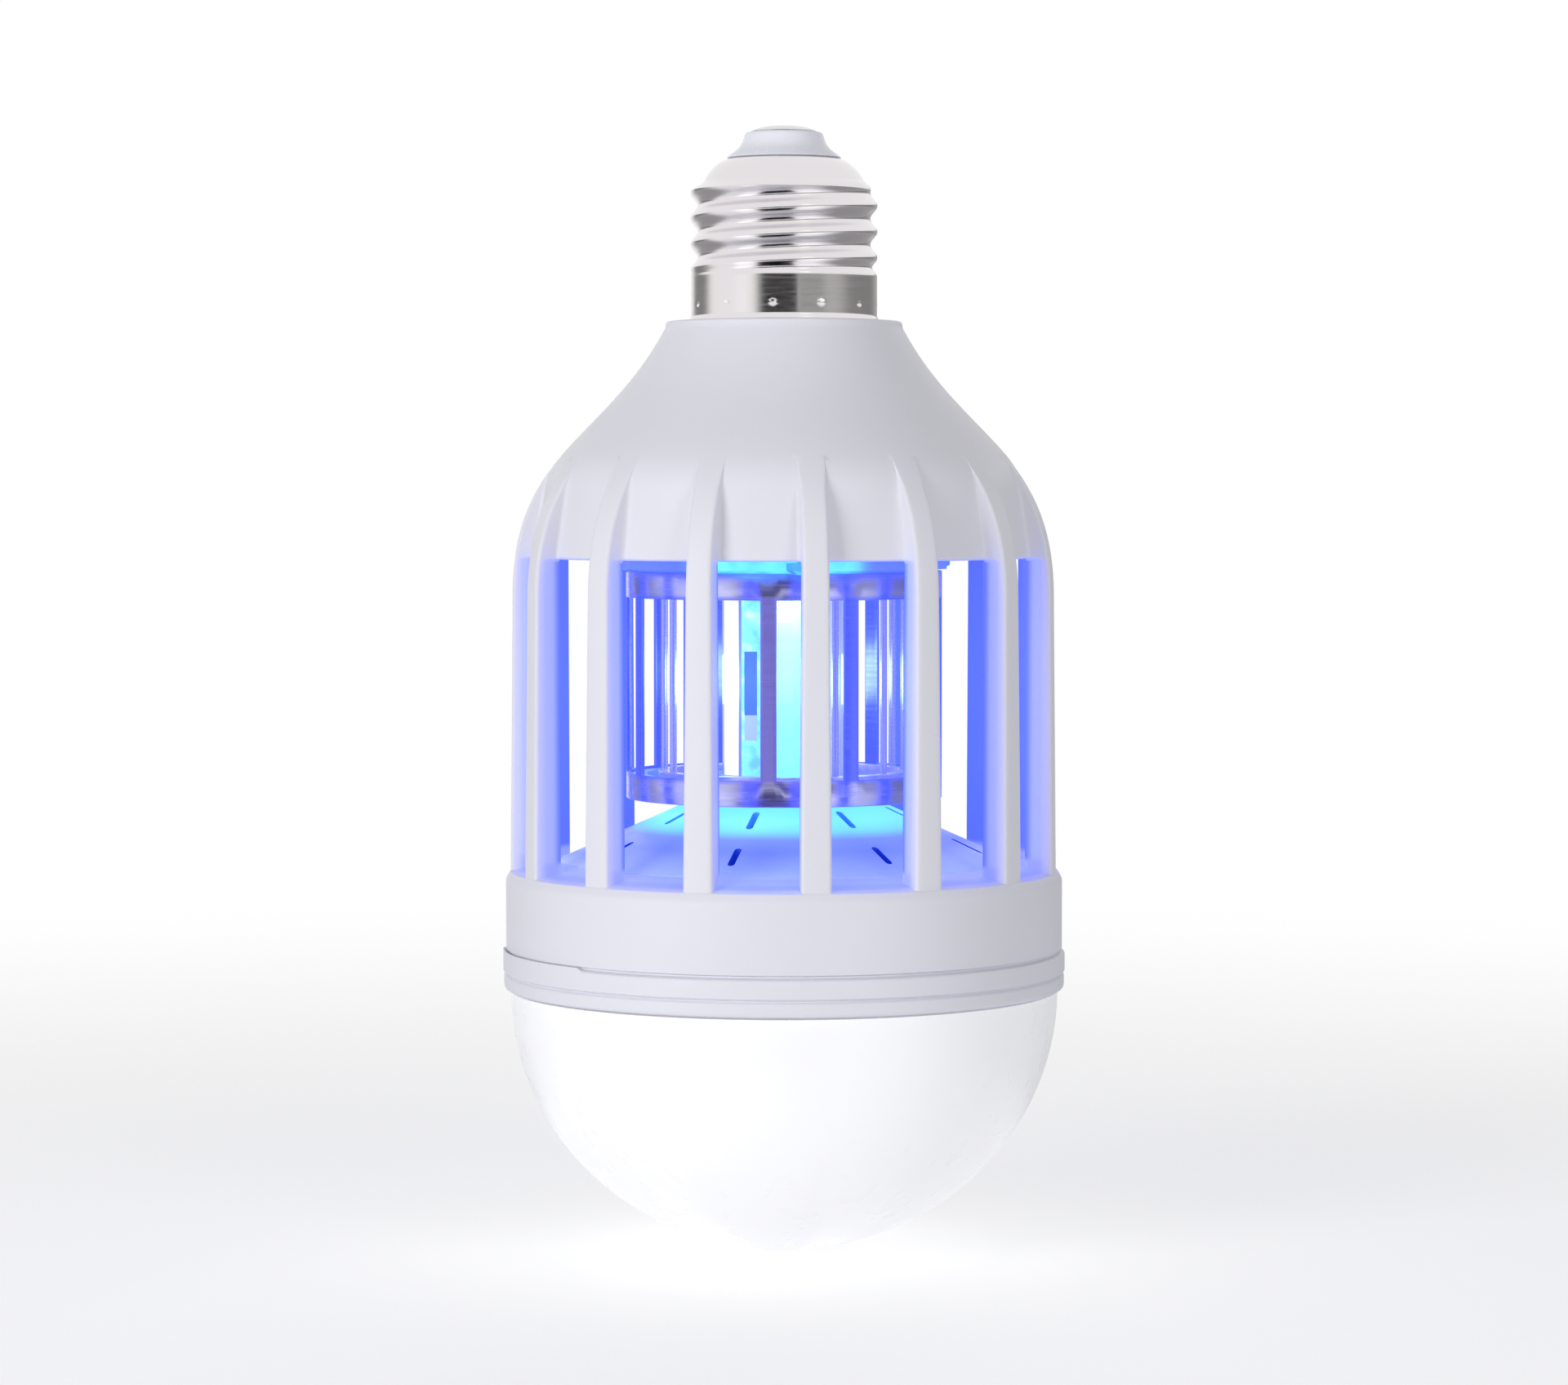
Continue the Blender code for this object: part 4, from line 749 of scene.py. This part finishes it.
class Shader(Nodes):
    """A Principled material and short calls for the nodes that feed it."""

    def __init__(self, name, colour, roughness, metallic=0.0):
        self.material = bpy.data.materials.new(name)
        self.material.use_nodes = True
        super().__init__(self.material.node_tree)
        self.main = self.nodes["Principled BSDF"]
        self.main.inputs["Base Color"].default_value = (*colour, 1.0)
        self.main.inputs["Roughness"].default_value = roughness
        self.main.inputs["Metallic"].default_value = metallic
        geometry = self.nodes.new("ShaderNodeNewGeometry")
        self.place = geometry.outputs["Position"]
        self.facing = geometry.outputs["True Normal"]

    def axis(self, name):
        """A coordinate of the surface's point, in metres."""
        return self.part(self.place, name)

    def turn(self):
        """The surface point's angle round the bulb, from the front towards +X."""
        return self.math("ARCTAN2", self.axis("X"), self.math("MULTIPLY", self.axis("Y"), -1.0))

    def upward(self):
        """How far the surface itself faces up, from -1 to 1."""
        return self.part(self.facing, "Z")

    def within(self, value, low, high, soft):
        """1 where a value lies between two others, eased to 0 over a soft edge outside them."""
        above = self.ease(value, low - soft, low)
        below = self.ease(value, high + soft, high)
        return self.math("MULTIPLY", above, below)

    def between(self, value, low, high):
        """1 where a value lies between two others, with hard edges."""
        above = self.math("GREATER_THAN", value, low)
        return self.math("MULTIPLY", above, self.math("LESS_THAN", value, high))

    def radius(self):
        """The surface point's distance from the bulb's axis."""
        squares = [self.math("MULTIPLY", self.axis(name), self.axis(name)) for name in "XY"]
        return self.math("SQRT", self.math("ADD", *squares))

    def ramp(self, value, stops):
        """Colours along a value from 0 to 1."""
        node = self.nodes.new("ShaderNodeValToRGB")
        elements = node.color_ramp.elements
        for position, colour in stops[2:]:
            elements.new(position)
        for element, (position, colour) in zip(elements, stops):
            element.position = position
            element.color = (*colour, 1.0)
        self.put(node.inputs["Fac"], value)
        return node.outputs["Color"]

    def mix(self, share, first, second):
        """Two colours mixed by a share."""
        node = self.nodes.new("ShaderNodeMix")
        node.data_type = "RGBA"
        self.put(node.inputs[0], share)
        for socket, value in ((node.inputs[6], first), (node.inputs[7], second)):
            self.put(socket, value if isinstance(value, bpy.types.NodeSocket) else (*value, 1.0))
        return node.outputs[2]

    def noise(self, scale, detail=2.0, stretch=None):
        """Noise over the surface's point, from 0 to 1."""
        node = self.nodes.new("ShaderNodeTexNoise")
        node.inputs["Scale"].default_value = scale
        node.inputs["Detail"].default_value = detail
        place = self.place
        if stretch is not None:
            mapping = self.nodes.new("ShaderNodeMapping")
            mapping.inputs["Scale"].default_value = stretch
            self.links.new(self.place, mapping.inputs["Vector"])
            place = mapping.outputs["Vector"]
        self.links.new(place, node.inputs["Vector"])
        return node.outputs["Fac"]

    def bump(self, height, distance, strength=1.0):
        """Raises the surface by a pattern."""
        node = self.nodes.new("ShaderNodeBump")
        node.inputs["Strength"].default_value = strength
        node.inputs["Distance"].default_value = distance
        self.links.new(height, node.inputs["Height"])
        self.links.new(node.outputs["Normal"], self.main.inputs["Normal"])

    def vary(self, value, low, high):
        """Roughness that varies with a pattern."""
        self.links.new(self.ease(value, 0.3, 0.7, low, high), self.main.inputs["Roughness"])

    def glow(self, colour, strength):
        """Light given off by the surface."""
        self.put(self.main.inputs["Emission Color"], colour)
        self.put(self.main.inputs["Emission Strength"], strength)


GRAIN = 900.0

# Colours as linear light; the lavenders, the blue and the cyan are the violet lamp's light, painted into the finishes
WHITE = (0.78, 0.78, 0.855)
PALE_LAVENDER = (0.50, 0.54, 1.0)
LAVENDER = (0.33, 0.38, 1.0)
BLUE = (0.10, 0.15, 1.0)
CYAN = (0.20, 0.82, 1.0)
BLACK = (0.0, 0.0, 0.0)


def white_plastic(name, lamp_glow_painted=False):
    """Satin white moulding. Where asked, its sides inside the cage take a painted glow of the violet lamp's light, as
    colour and emission, bluer further in and paler just above the sill.
    """
    shader = Shader(name, WHITE, 0.40)
    shader.vary(shader.noise(300.0, 3.0), 0.36, 0.44)
    shader.bump(shader.noise(5200.0, 2.0), 0.00002, 0.35)
    shader.main.inputs["Specular IOR Level"].default_value = 0.45
    if lamp_glow_painted:
        # Painted light: inside the cage the rib sides are tinted lavender to blue and made to glow, as the violet
        # lamp's light
        inside = shader.ease(shader.radius(), CAGE_RADIUS - 0.0001, RIB_INNER_RADIUS - 0.0002)
        height = shader.axis("Z")
        above = shader.ease(height, WINDOW_BASE - 0.0009, WINDOW_BASE + 0.0001)
        below = shader.ease(height, WINDOW_TOP + 0.0004, WINDOW_TOP - 0.0004)
        share = shader.math("MULTIPLY", inside, shader.math("MULTIPLY", above, below))
        tint = shader.ramp(share, [(0.0, WHITE), (0.30, PALE_LAVENDER), (0.75, LAVENDER), (1.0, BLUE)])
        # Painted light: just above the sill the rib sides get a paler blue glow
        sill_glow_painted = shader.math("MULTIPLY", share, shader.ease(height, SILL_TOP + 0.0012, SILL_TOP + 0.0002))
        tint = shader.mix(sill_glow_painted, tint, (0.30, 0.34, 1.0))
        shader.put(shader.main.inputs["Base Color"], tint)
        shader.glow(tint, shader.math("MULTIPLY", share, 0.62))
    return shader.material


def plastic_with_painted_glow(name, colour, strength):
    """White moulding inside the cage, with the violet lamp's light painted on as colour and glow: a clouded cyan pool
    in the middle, blue further out.
    """
    shader = Shader(name, colour, 0.45)
    shader.vary(shader.noise(300.0, 3.0), 0.40, 0.50)
    shader.bump(shader.noise(4200.0, 2.0), 0.00002, 0.3)
    # Painted light: a clouded cyan pool in the middle of the cage, below the grid's top, glows over the painted blue
    cyan_pool_painted = shader.within(shader.axis("X"), -0.0100, 0.0085, 0.0045)
    cyan_pool_painted = shader.math("MULTIPLY", cyan_pool_painted, shader.ease(shader.axis("Z"), GRID_TOP - 0.0010, GRID_TOP))
    cloud = shader.mix(shader.ease(shader.noise(170.0, 2.0), 0.35, 0.65), (0.08, 0.46, 0.95), (0.20, 0.80, 1.0))
    tint = shader.mix(cyan_pool_painted, colour, cloud)
    shader.put(shader.main.inputs["Base Color"], tint)
    shader.glow(tint, shader.math("ADD", shader.math("MULTIPLY", cyan_pool_painted, 0.12), strength))
    return shader.material


def tray_with_painted_light():
    """The tray, with the violet lamp's light painted on: bright cyan under the grids, blue beyond the grids' painted
    shadow line, and darker upright walls as painted shade.
    """
    shader = Shader("tray_with_painted_light", LAVENDER, 0.38)
    radius = shader.radius()
    edge = TRAY_SHADOW_RADIUS / TRAY_RADIUS
    # Painted light: cyan out to the grids' painted shadow radius, blue beyond it
    tint = shader.ramp(
        shader.math("DIVIDE", radius, TRAY_RADIUS),
        [
            (0.0, CYAN), (edge - 0.10, (0.26, 0.88, 1.0)), (edge - 0.03, (0.22, 0.74, 1.0)),
            (edge + 0.05, (0.20, 0.27, 1.0)), (edge + 0.15, (0.16, 0.22, 1.0)), (1.0, (0.28, 0.35, 1.0)),
        ],
    )
    shader.vary(shader.noise(260.0, 3.0), 0.32, 0.42)
    shader.bump(shader.noise(3500.0, 2.0), 0.00002, 0.3)
    # Painted shade: faces that look up, and the outer edge, take the bright painted light and glow more; the upright
    # walls are darker
    top = shader.math("MAXIMUM", shader.ease(shader.upward(), 0.5, 0.8), shader.ease(radius, 0.0300, 0.0304))
    wall = shader.mix(shader.ease(radius, 0.0200, 0.0220), (0.08, 0.40, 0.72), (0.01, 0.05, 0.55))
    tint = shader.mix(top, wall, tint)
    shader.put(shader.main.inputs["Base Color"], tint)
    shader.glow(tint, shader.ease(top, 0.0, 1.0, 0.25, 0.66))
    return shader.material


def metal(name, colour, low, high):
    """Bright drawn metal with fine turning marks."""
    shader = Shader(name, colour, low, 1.0)
    shader.vary(shader.noise(160.0, 4.0, (1.0, 1.0, 14.0)), low, high)
    shader.bump(shader.noise(700.0, 2.0, (0.4, 0.4, 9.0)), 0.00001, 0.25)
    return shader.material


def grid_metal_with_painted_light():
    """The outer grid: bright rings, and bars and inner faces painted darker as shade, with a painted blue glow of the
    violet lamp, dimmer and more violet over the middle.
    """
    shader = Shader("grid_metal_with_painted_light", (0.62, 0.62, 0.68), 0.2, 1.0)
    shader.vary(shader.noise(160.0, 4.0, (1.0, 1.0, 14.0)), 0.18, 0.28)
    shader.bump(shader.noise(700.0, 2.0, (0.4, 0.4, 9.0)), 0.00001, 0.25)
    # Painted light and shade: the bars and the inner faces are darker and glow blue
    bars = shader.within(shader.axis("Z"), GRID_BASE + GRID_RING_HEIGHT, GRID_TOP - GRID_RING_HEIGHT, 0.0008)
    inside = shader.ease(shader.radius(), GRID_RADIUS - 0.0001, GRID_RADIUS - 0.0003)
    side = shader.ease(shader.math("ABSOLUTE", shader.axis("X")), 0.0040, 0.0100)
    tint = shader.mix(side, (0.17, 0.15, 0.56), (0.05, 0.10, 1.0))
    share = shader.math("MAXIMUM", bars, inside)
    shader.put(shader.main.inputs["Base Color"], shader.mix(share, (0.46, 0.46, 0.62), (0.14, 0.14, 0.30)))
    shader.glow(tint, shader.ease(share, 0.0, 1.0, 0.24, 0.85))
    return shader.material


def wire_metal_with_painted_glow():
    """The inner grid's wires and rings, with the violet lamp's light painted on as an even blue glow."""
    shader = Shader("wire_metal_with_painted_glow", (0.34, 0.34, 0.60), 0.25, 1.0)
    shader.vary(shader.noise(400.0, 3.0, (1.0, 1.0, 6.0)), 0.20, 0.30)
    shader.bump(shader.noise(900.0, 2.0, (0.4, 0.4, 9.0)), 0.00001, 0.25)
    # Painted glow of the violet lamp
    shader.glow((0.28, 0.33, 1.0, 1.0), 0.45)
    return shader.material


def diffuser_plastic():
    """Milky plastic with the white lamp's light behind it."""
    shader = Shader("milky_diffuser", (0.86, 0.86, 0.89), 0.30)
    shader.vary(shader.noise(220.0, 2.0), 0.26, 0.34)
    shader.bump(shader.noise(3000.0, 2.0), 0.00001, 0.2)
    shader.main.inputs["Subsurface Weight"].default_value = 0.10
    shader.main.inputs["Subsurface Radius"].default_value = (0.004, 0.004, 0.004)
    glow = shader.ease(shader.axis("Z"), DIFFUSER_TOP, DIFFUSER_TOP - DIFFUSER_DEPTH, 0.19, 0.17)
    shader.glow((0.96, 0.97, 1.0, 1.0), glow)
    return shader.material


def tube_glass_with_painted_light():
    """The violet lamp's clear tube: see-through over its board, with a painted glow of the lamp's light in the wall at
    each side and a painted highlight down its left side.
    """
    shader = Shader("clear_tube", (0.30, 0.40, 1.0), 0.10)
    shader.vary(shader.noise(200.0, 2.0), 0.08, 0.14)
    shader.main.inputs["Specular IOR Level"].default_value = 0.4
    across = shader.math("ADD", shader.math("MULTIPLY", shader.axis("X"), 0.5 / TUBE_RADIUS), 0.5)
    # The pale band down the left side is a painted highlight
    pale = (0.78, 0.74, 1.0)
    clear = (0.20, 0.30, 1.0)
    tint = shader.ramp(
        across,
        [
            (0.0, BLUE), (0.010, BLUE), (0.022, pale), (0.130, pale), (0.140, BLUE), (0.160, clear),
            (0.840, clear), (0.850, (0.42, 0.44, 1.0)), (0.920, (0.36, 0.40, 1.0)), (1.0, BLUE),
        ],
    )
    wall = shader.math("MAXIMUM", shader.ease(across, 0.160, 0.145), shader.ease(across, 0.840, 0.855))
    shader.put(shader.main.inputs["Base Color"], tint)
    shader.put(shader.main.inputs["Alpha"], shader.ease(wall, 0.0, 1.0, 0.10, 0.92))
    shader.glow(tint, shader.ease(wall, 0.0, 1.0, 0.35, 0.80))
    return shader.material


def lamp_strip(name):
    """The violet lamp's board: white-hot at its top, cyan below, and a dim edge with its driver chip."""
    shader = Shader(name, (0.6, 0.9, 1.0), 0.4)
    shader.vary(shader.noise(900.0, 2.0), 0.35, 0.45)
    across = shader.axis("X")
    height = shader.axis("Z")
    up = shader.ease(height, *STRIP_HEIGHTS)
    bright = shader.ramp(up, [(0.0, (0.22, 0.86, 1.0)), (0.55, (0.42, 0.95, 1.0)), (1.0, (1.0, 1.0, 1.0))])
    cloud = shader.ramp(
        shader.noise(330.0, 3.0), [(0.35, (0.12, 0.40, 1.0)), (0.52, (0.20, 0.66, 1.0)), (0.68, (0.55, 0.95, 1.0))]
    )
    tint = shader.mix(shader.ease(across, *STRIP_EDGE), cloud, bright)
    column = shader.between(across, *CHIP_SIDES)
    for heights, colour in ((CHIP_HEIGHTS, (0.03, 0.09, 0.95)), (CHIP_FOOT, (0.28, 0.34, 0.85))):
        tint = shader.mix(shader.math("MULTIPLY", column, shader.between(height, *heights)), tint, colour)
    shader.put(shader.main.inputs["Base Color"], tint)
    shader.glow(tint, 1.1)
    return shader.material


def plain(name, colour, roughness, metallic=0.0, glow=0.0):
    """A small piece's finish, with a fine grain."""
    shader = Shader(name, colour, roughness, metallic)
    shader.vary(shader.noise(GRAIN, 3.0), roughness * 0.85, min(roughness * 1.15, 1.0))
    shader.bump(shader.noise(GRAIN * 4, 2.0), 0.00001, 0.3)
    if glow:
        shader.glow((*colour, 1.0), glow)
    return shader.material


# Screw cap
contact_crown = [(0.0, 0.0), (0.0014, 0.0), (0.0026, -0.00006), (0.0034, -0.00022), (0.0040, -0.00042)]
contact = contact_crown + rounded(
    [
        (0.0043, -0.00054, 0), (CONTACT_RADIUS, -0.00062, 0.0002), (CONTACT_RADIUS, CONTACT_BASE, 0.0001),
        (0.0, CONTACT_BASE, 0),
    ]
)
add_piece(
    "end_contact", turned_mesh("end_contact", contact, CONTACT_COLUMNS, False),
    metal("contact_metal", (0.70, 0.70, 0.74), 0.22, 0.32), "nickel", "centre_contact",
)
insulator = rounded(
    [
        (0.0, CONTACT_BASE - 0.00003, 0),
        (INSULATOR_TOP_RADIUS - 0.0001, CONTACT_BASE - 0.00003, 0.0006),
        (0.0060, -0.0028, 0.0040),
        (INSULATOR_RADIUS + 0.0001, INSULATOR_EDGE - 0.0001, 0.0001),
        (SHELL_RIM_RADIUS - 0.0003, SHELL_TOP - 0.0002, 0),
        (SHELL_RIM_RADIUS - 0.0003, SHELL_TOP - 0.0007, 0),
        (0.0, SHELL_TOP - 0.0007, 0),
    ],
    8,
)
add_piece(
    "insulator", turned_mesh("insulator", insulator, INSULATOR_COLUMNS, False),
    plain("cap_insulator", (0.84, 0.85, 0.93), 0.25), "cap_insulator", "cap_insulator",
)
add_piece(
    "threaded_shell",
    turned_mesh("threaded_shell", shell_profile(), SHELL_COLUMNS, False, CRIMP_PHASE, shell_shape),
    metal("nickel", (0.78, 0.75, 0.77), 0.15, 0.21), "nickel", "screw_shell",
)

# Housing, lamp ring and diffuser
housing_points, housing_faces = housing_mesh()
collar = turned_mesh("collar", collar_profile(), COLLAR_COLUMNS)
first = len(housing_points)
housing_points += [vertex.co.copy() for vertex in collar.vertices]
housing_faces += [tuple(first + i for i in polygon.vertices) for polygon in collar.polygons]
# The housing's rib sides inside the cage get the violet lamp's light painted on
add_piece(
    "ribbed_housing", mesh_of("ribbed_housing", housing_points, housing_faces),
    white_plastic("white_plastic", lamp_glow_painted=True), "white_plastic", "cage_housing",
)
add_piece(
    "beaded_ring", turned_mesh("beaded_ring", ring_profile(), COLLAR_COLUMNS, shape=ring_shape),
    white_plastic("ring_plastic"), "white_plastic", "lamp_ring",
)
add_piece(
    "milky_dome", turned_mesh("milky_dome", diffuser_profile(), DIFFUSER_COLUMNS, False),
    diffuser_plastic(), "milky_diffuser", "diffuser",
)

# Tray, grids and the violet lamp
add_piece(
    "slotted_tray", cut(turned_mesh("slotted_tray", tray_profile(), TRAY_COLUMNS), slot_cutter()),
    tray_with_painted_light(), "white_plastic", "insect_tray",
)
outer_grid = add_piece("barred_grid", grid_mesh(), grid_metal_with_painted_light(), "grid_steel", "outer_grid")
sheet = outer_grid.modifiers.new("sheet", "SOLIDIFY")
sheet.thickness = GRID_SHEET
sheet.offset = -1.0
soft = outer_grid.modifiers.new("soft", "BEVEL")
soft.width = 0.0001
soft.segments = 2
soft.limit_method = "ANGLE"
add_piece("wire_grid", inner_grid_mesh(), wire_metal_with_painted_glow(), "grid_steel", "inner_grid")

cad_finishes = {
    "clear_tube": tube_glass_with_painted_light(),
    "lamp_board": plain("lamp_board", (0.82, 0.83, 0.80), 0.5),
    "driver_board": plain("driver_board", (0.04, 0.22, 0.09), 0.5),
    "winding_tape": plain("winding_tape", (0.62, 0.50, 0.08), 0.5),
    "orange_film": plain("orange_film", (0.55, 0.14, 0.02), 0.35),
    "dark_plastic": plain("dark_plastic", (0.02, 0.02, 0.025), 0.45),
    "steel": plain("screw_steel", (0.45, 0.46, 0.50), 0.3, 1.0),
    "aluminium": plain("aluminium", (0.62, 0.62, 0.64), 0.4, 1.0),
    "red_wire": plain("red_wire", (0.50, 0.02, 0.02), 0.5),
    "black_wire": plain("black_wire", (0.02, 0.02, 0.02), 0.5),
    "violet_chip": lamp_strip("violet_chip"),
    "white_chip": plain("white_chip", (0.90, 0.85, 0.50), 0.35),
    # The white holders inside the cage: the violet lamp's light painted on as blue colour and glow
    "white_plastic": plastic_with_painted_glow("plastic_with_painted_glow", (0.15, 0.24, 1.0), 0.5),
}
# The holder screws: the violet lamp's light painted on as blue-cyan colour and glow
steel_with_painted_glow = plain("steel_with_painted_glow", (0.08, 0.34, 0.80), 0.4, 1.0, 0.6)
special_finishes = {f"holder_screw_{number}": steel_with_painted_glow for number in (1, 2, 3)}
special_finishes["uv_board"] = lamp_strip("lamp_strip")
slots = {part["node"]: part["material_slot"] for part in frame["record"]["subparts"]}
for name, node in frame["nodes"].items():
    if node.hide_render:
        continue
    finish = special_finishes.get(name) or cad_finishes[slots[name]]
    node.data.materials.clear()
    node.data.materials.append(finish)

# Camera at the photograph's viewing angle
camera = bpy.data.objects.new("camera", bpy.data.cameras.new("camera"))
camera.data.sensor_width = 36.0
camera.data.lens = CAMERA_LENS
camera.location = CAMERA_PLACE
camera.rotation_euler = (Vector(CAMERA_TARGET) - camera.location).to_track_quat("-Z", "Y").to_euler()
bpy.context.scene.collection.objects.link(camera)
bpy.context.scene.camera = camera


def lamp(name, place, size, power):
    """A soft box aimed at the bulb, with its width and height, that reflections don't show."""
    light = bpy.data.lights.new(name, "AREA")
    light.shape = "RECTANGLE"
    light.size, light.size_y = size
    light.energy = power
    holder = bpy.data.objects.new(name, light)
    holder.location = place
    holder.rotation_euler = (Vector(LAMP_TARGET) - holder.location).to_track_quat("-Z", "Y").to_euler()
    holder.visible_glossy = False
    bpy.context.scene.collection.objects.link(holder)


lamp("key", (-0.62, -0.66, 0.06), (0.40, 0.42), 3.9)
lamp("right", (0.54, -0.72, 0.04), (0.26, 0.38), 1.4)
lamp("top", (0.06, -0.22, 0.80), (0.30, 0.20), 0.3)
lamp("back", (0.20, 0.80, 0.30), (0.60, 0.60), 1.2)


def card(name, start, end, low, high, level, soft, rim=1.0):
    """A curved card that only reflections show, between two azimuths and two elevations in degrees.

    It is white at its upper and lower edges and of the rim's level at its sides, and reaches its own
    level over the soft widths, in degrees, from its left and right edges.
    """
    angles = [math.radians(start + (end - start) * i / CARD_STEPS) for i in range(CARD_STEPS + 1)]
    heights = [CARD_MIDDLE + CARD_RADIUS * math.tan(math.radians(elevation)) for elevation in (low, high)]
    points = [placed(CARD_RADIUS, angle, height) for height in heights for angle in angles]
    faces = [(i, i + 1, CARD_STEPS + 2 + i, CARD_STEPS + 1 + i) for i in range(CARD_STEPS)]
    shader = Shader(name, BLACK, 1.0)
    shader.main.inputs["Specular IOR Level"].default_value = 0.0
    turn = shader.turn()
    left = shader.ease(turn, angles[0], angles[0] + math.radians(soft[0]))
    right = shader.ease(turn, angles[-1], angles[-1] - math.radians(soft[1]))
    ends = shader.within(shader.axis("Z"), heights[0] + CARD_MARGIN, heights[1] - CARD_MARGIN, CARD_SOFTNESS)
    across = shader.ease(shader.math("MULTIPLY", left, right), 0.0, 1.0, rim, level)
    shader.glow((1.0, 1.0, 0.97, 1.0), shader.ease(ends, 0.0, 1.0, 1.0, across))
    mesh = mesh_of(name, points, faces)
    mesh.materials.append(shader.material)
    piece = bpy.data.objects.new(name, mesh)
    piece.visible_camera = False
    piece.visible_diffuse = False
    piece.visible_transmission = False
    piece.visible_shadow = False
    bpy.context.scene.collection.objects.link(piece)


# The screw shell's bands: dark in front, a bright spot on the shoulder, and grey to the right and the left
card("card_front", -44, 18, -14, 12, 0.01, (24, 2))
card("card_spark", 20, 38, 26, 42, 1.5, (5, 5))
card("card_low", 18.2, 60, -12, 11, 0.32, (2, 20), 0.46)
card("card_right", 60.2, 172, -12, 11, 0.24, (40, 50), 0.46)
card("card_left", -166, -92, -12, 11, 0.24, (36, 30))

# Light from the violet lamp inside the cage
for k in range(GLOW_COUNT):
    glow = bpy.data.lights.new("violet_glow", "POINT")
    glow.energy = 0.006
    glow.color = (0.20, 0.32, 1.0)
    glow.shadow_soft_size = 0.004
    holder = bpy.data.objects.new("violet_glow", glow)
    holder.location = placed(GLOW_RADIUS, TURN * k / GLOW_COUNT, GLOW_HEIGHT)
    bpy.context.scene.collection.objects.link(holder)

# Plain pale floor and backdrop
world = bpy.data.worlds.new("studio")
bpy.context.scene.world = world
world.use_nodes = True
studio = Nodes(world.node_tree)
direction = studio.nodes.new("ShaderNodeTexCoord").outputs["Generated"]
dome_level = studio.remap(studio.part(direction, "Z"), 0.05, 0.85, 0.60, 0.20)
seen = studio.rays("Camera", "Transmission", "Glossy")
background = studio.nodes["Background"]
background.inputs["Color"].default_value = (1.0, 1.0, 1.0, 1.0)
studio.put(background.inputs["Strength"], studio.remap(seen, 0.0, 1.0, dome_level, 1.0))


def floor_finish():
    """A pale matt floor that fades into the backdrop.

    Reflections in the screw shell see it dark in front, bright beside that and grey at the sides.
    """
    shader = Shader("floor_finish", FLOOR_GREY, 0.9)
    shader.main.inputs["Specular IOR Level"].default_value = 0.0
    radius = shader.radius()
    turn = shader.turn()

    def sector(start, end, soft):
        return shader.within(turn, math.radians(start), math.radians(end), math.radians(soft))

    front = shader.math("MULTIPLY", sector(-30, 14, 6), shader.within(radius, 0.11, 0.34, 0.05))
    sides = shader.math("MAXIMUM", sector(84, 150, 28), sector(-142, -114, 24))
    sides = shader.math("MULTIPLY", sides, shader.within(radius, 0.10, 1.2, 0.04))
    beside = shader.math("MAXIMUM", sector(-60, -40, 5), sector(22, 50, 6))
    glossy = shader.rays("Glossy")
    dim = shader.math("MAXIMUM", front, shader.math("MULTIPLY", sides, 0.62))
    dim = shader.math("MULTIPLY", dim, glossy)
    bright = shader.math("MULTIPLY", shader.math("MULTIPLY", beside, 0.4), glossy)
    colour = shader.mix(shader.ease(radius, *FLOOR_FADE), FLOOR_GREY, BLACK)
    shader.put(shader.main.inputs["Base Color"], shader.mix(dim, colour, BLACK))
    level = shader.ease(shader.rays("Camera", "Glossy", "Transmission"), 0.0, 1.0, 0.5, 1.0)
    level = shader.math("MULTIPLY", level, shader.math("SUBTRACT", 1.0, dim))
    level = shader.math("ADD", level, bright)
    shader.glow((1.0, 1.0, 1.0, 1.0), shader.math("MULTIPLY", shader.ease(radius, *FLOOR_FADE, 0.55, 1.0), level))
    return shader.material


floor_height = cad_box[0].z - 0.0002
floor_mesh = bpy.data.meshes.new("floor")
corners = [(x * FLOOR_REACH, y * FLOOR_REACH, floor_height) for x, y in ((-1, -1), (1, -1), (1, 1), (-1, 1))]
floor_mesh.from_pydata(corners, [], [(0, 1, 2, 3)])
floor_mesh.materials.append(floor_finish())
floor = bpy.data.objects.new("floor", floor_mesh)
bpy.context.scene.collection.objects.link(floor)

bpy.context.scene.view_settings.view_transform = "Standard"
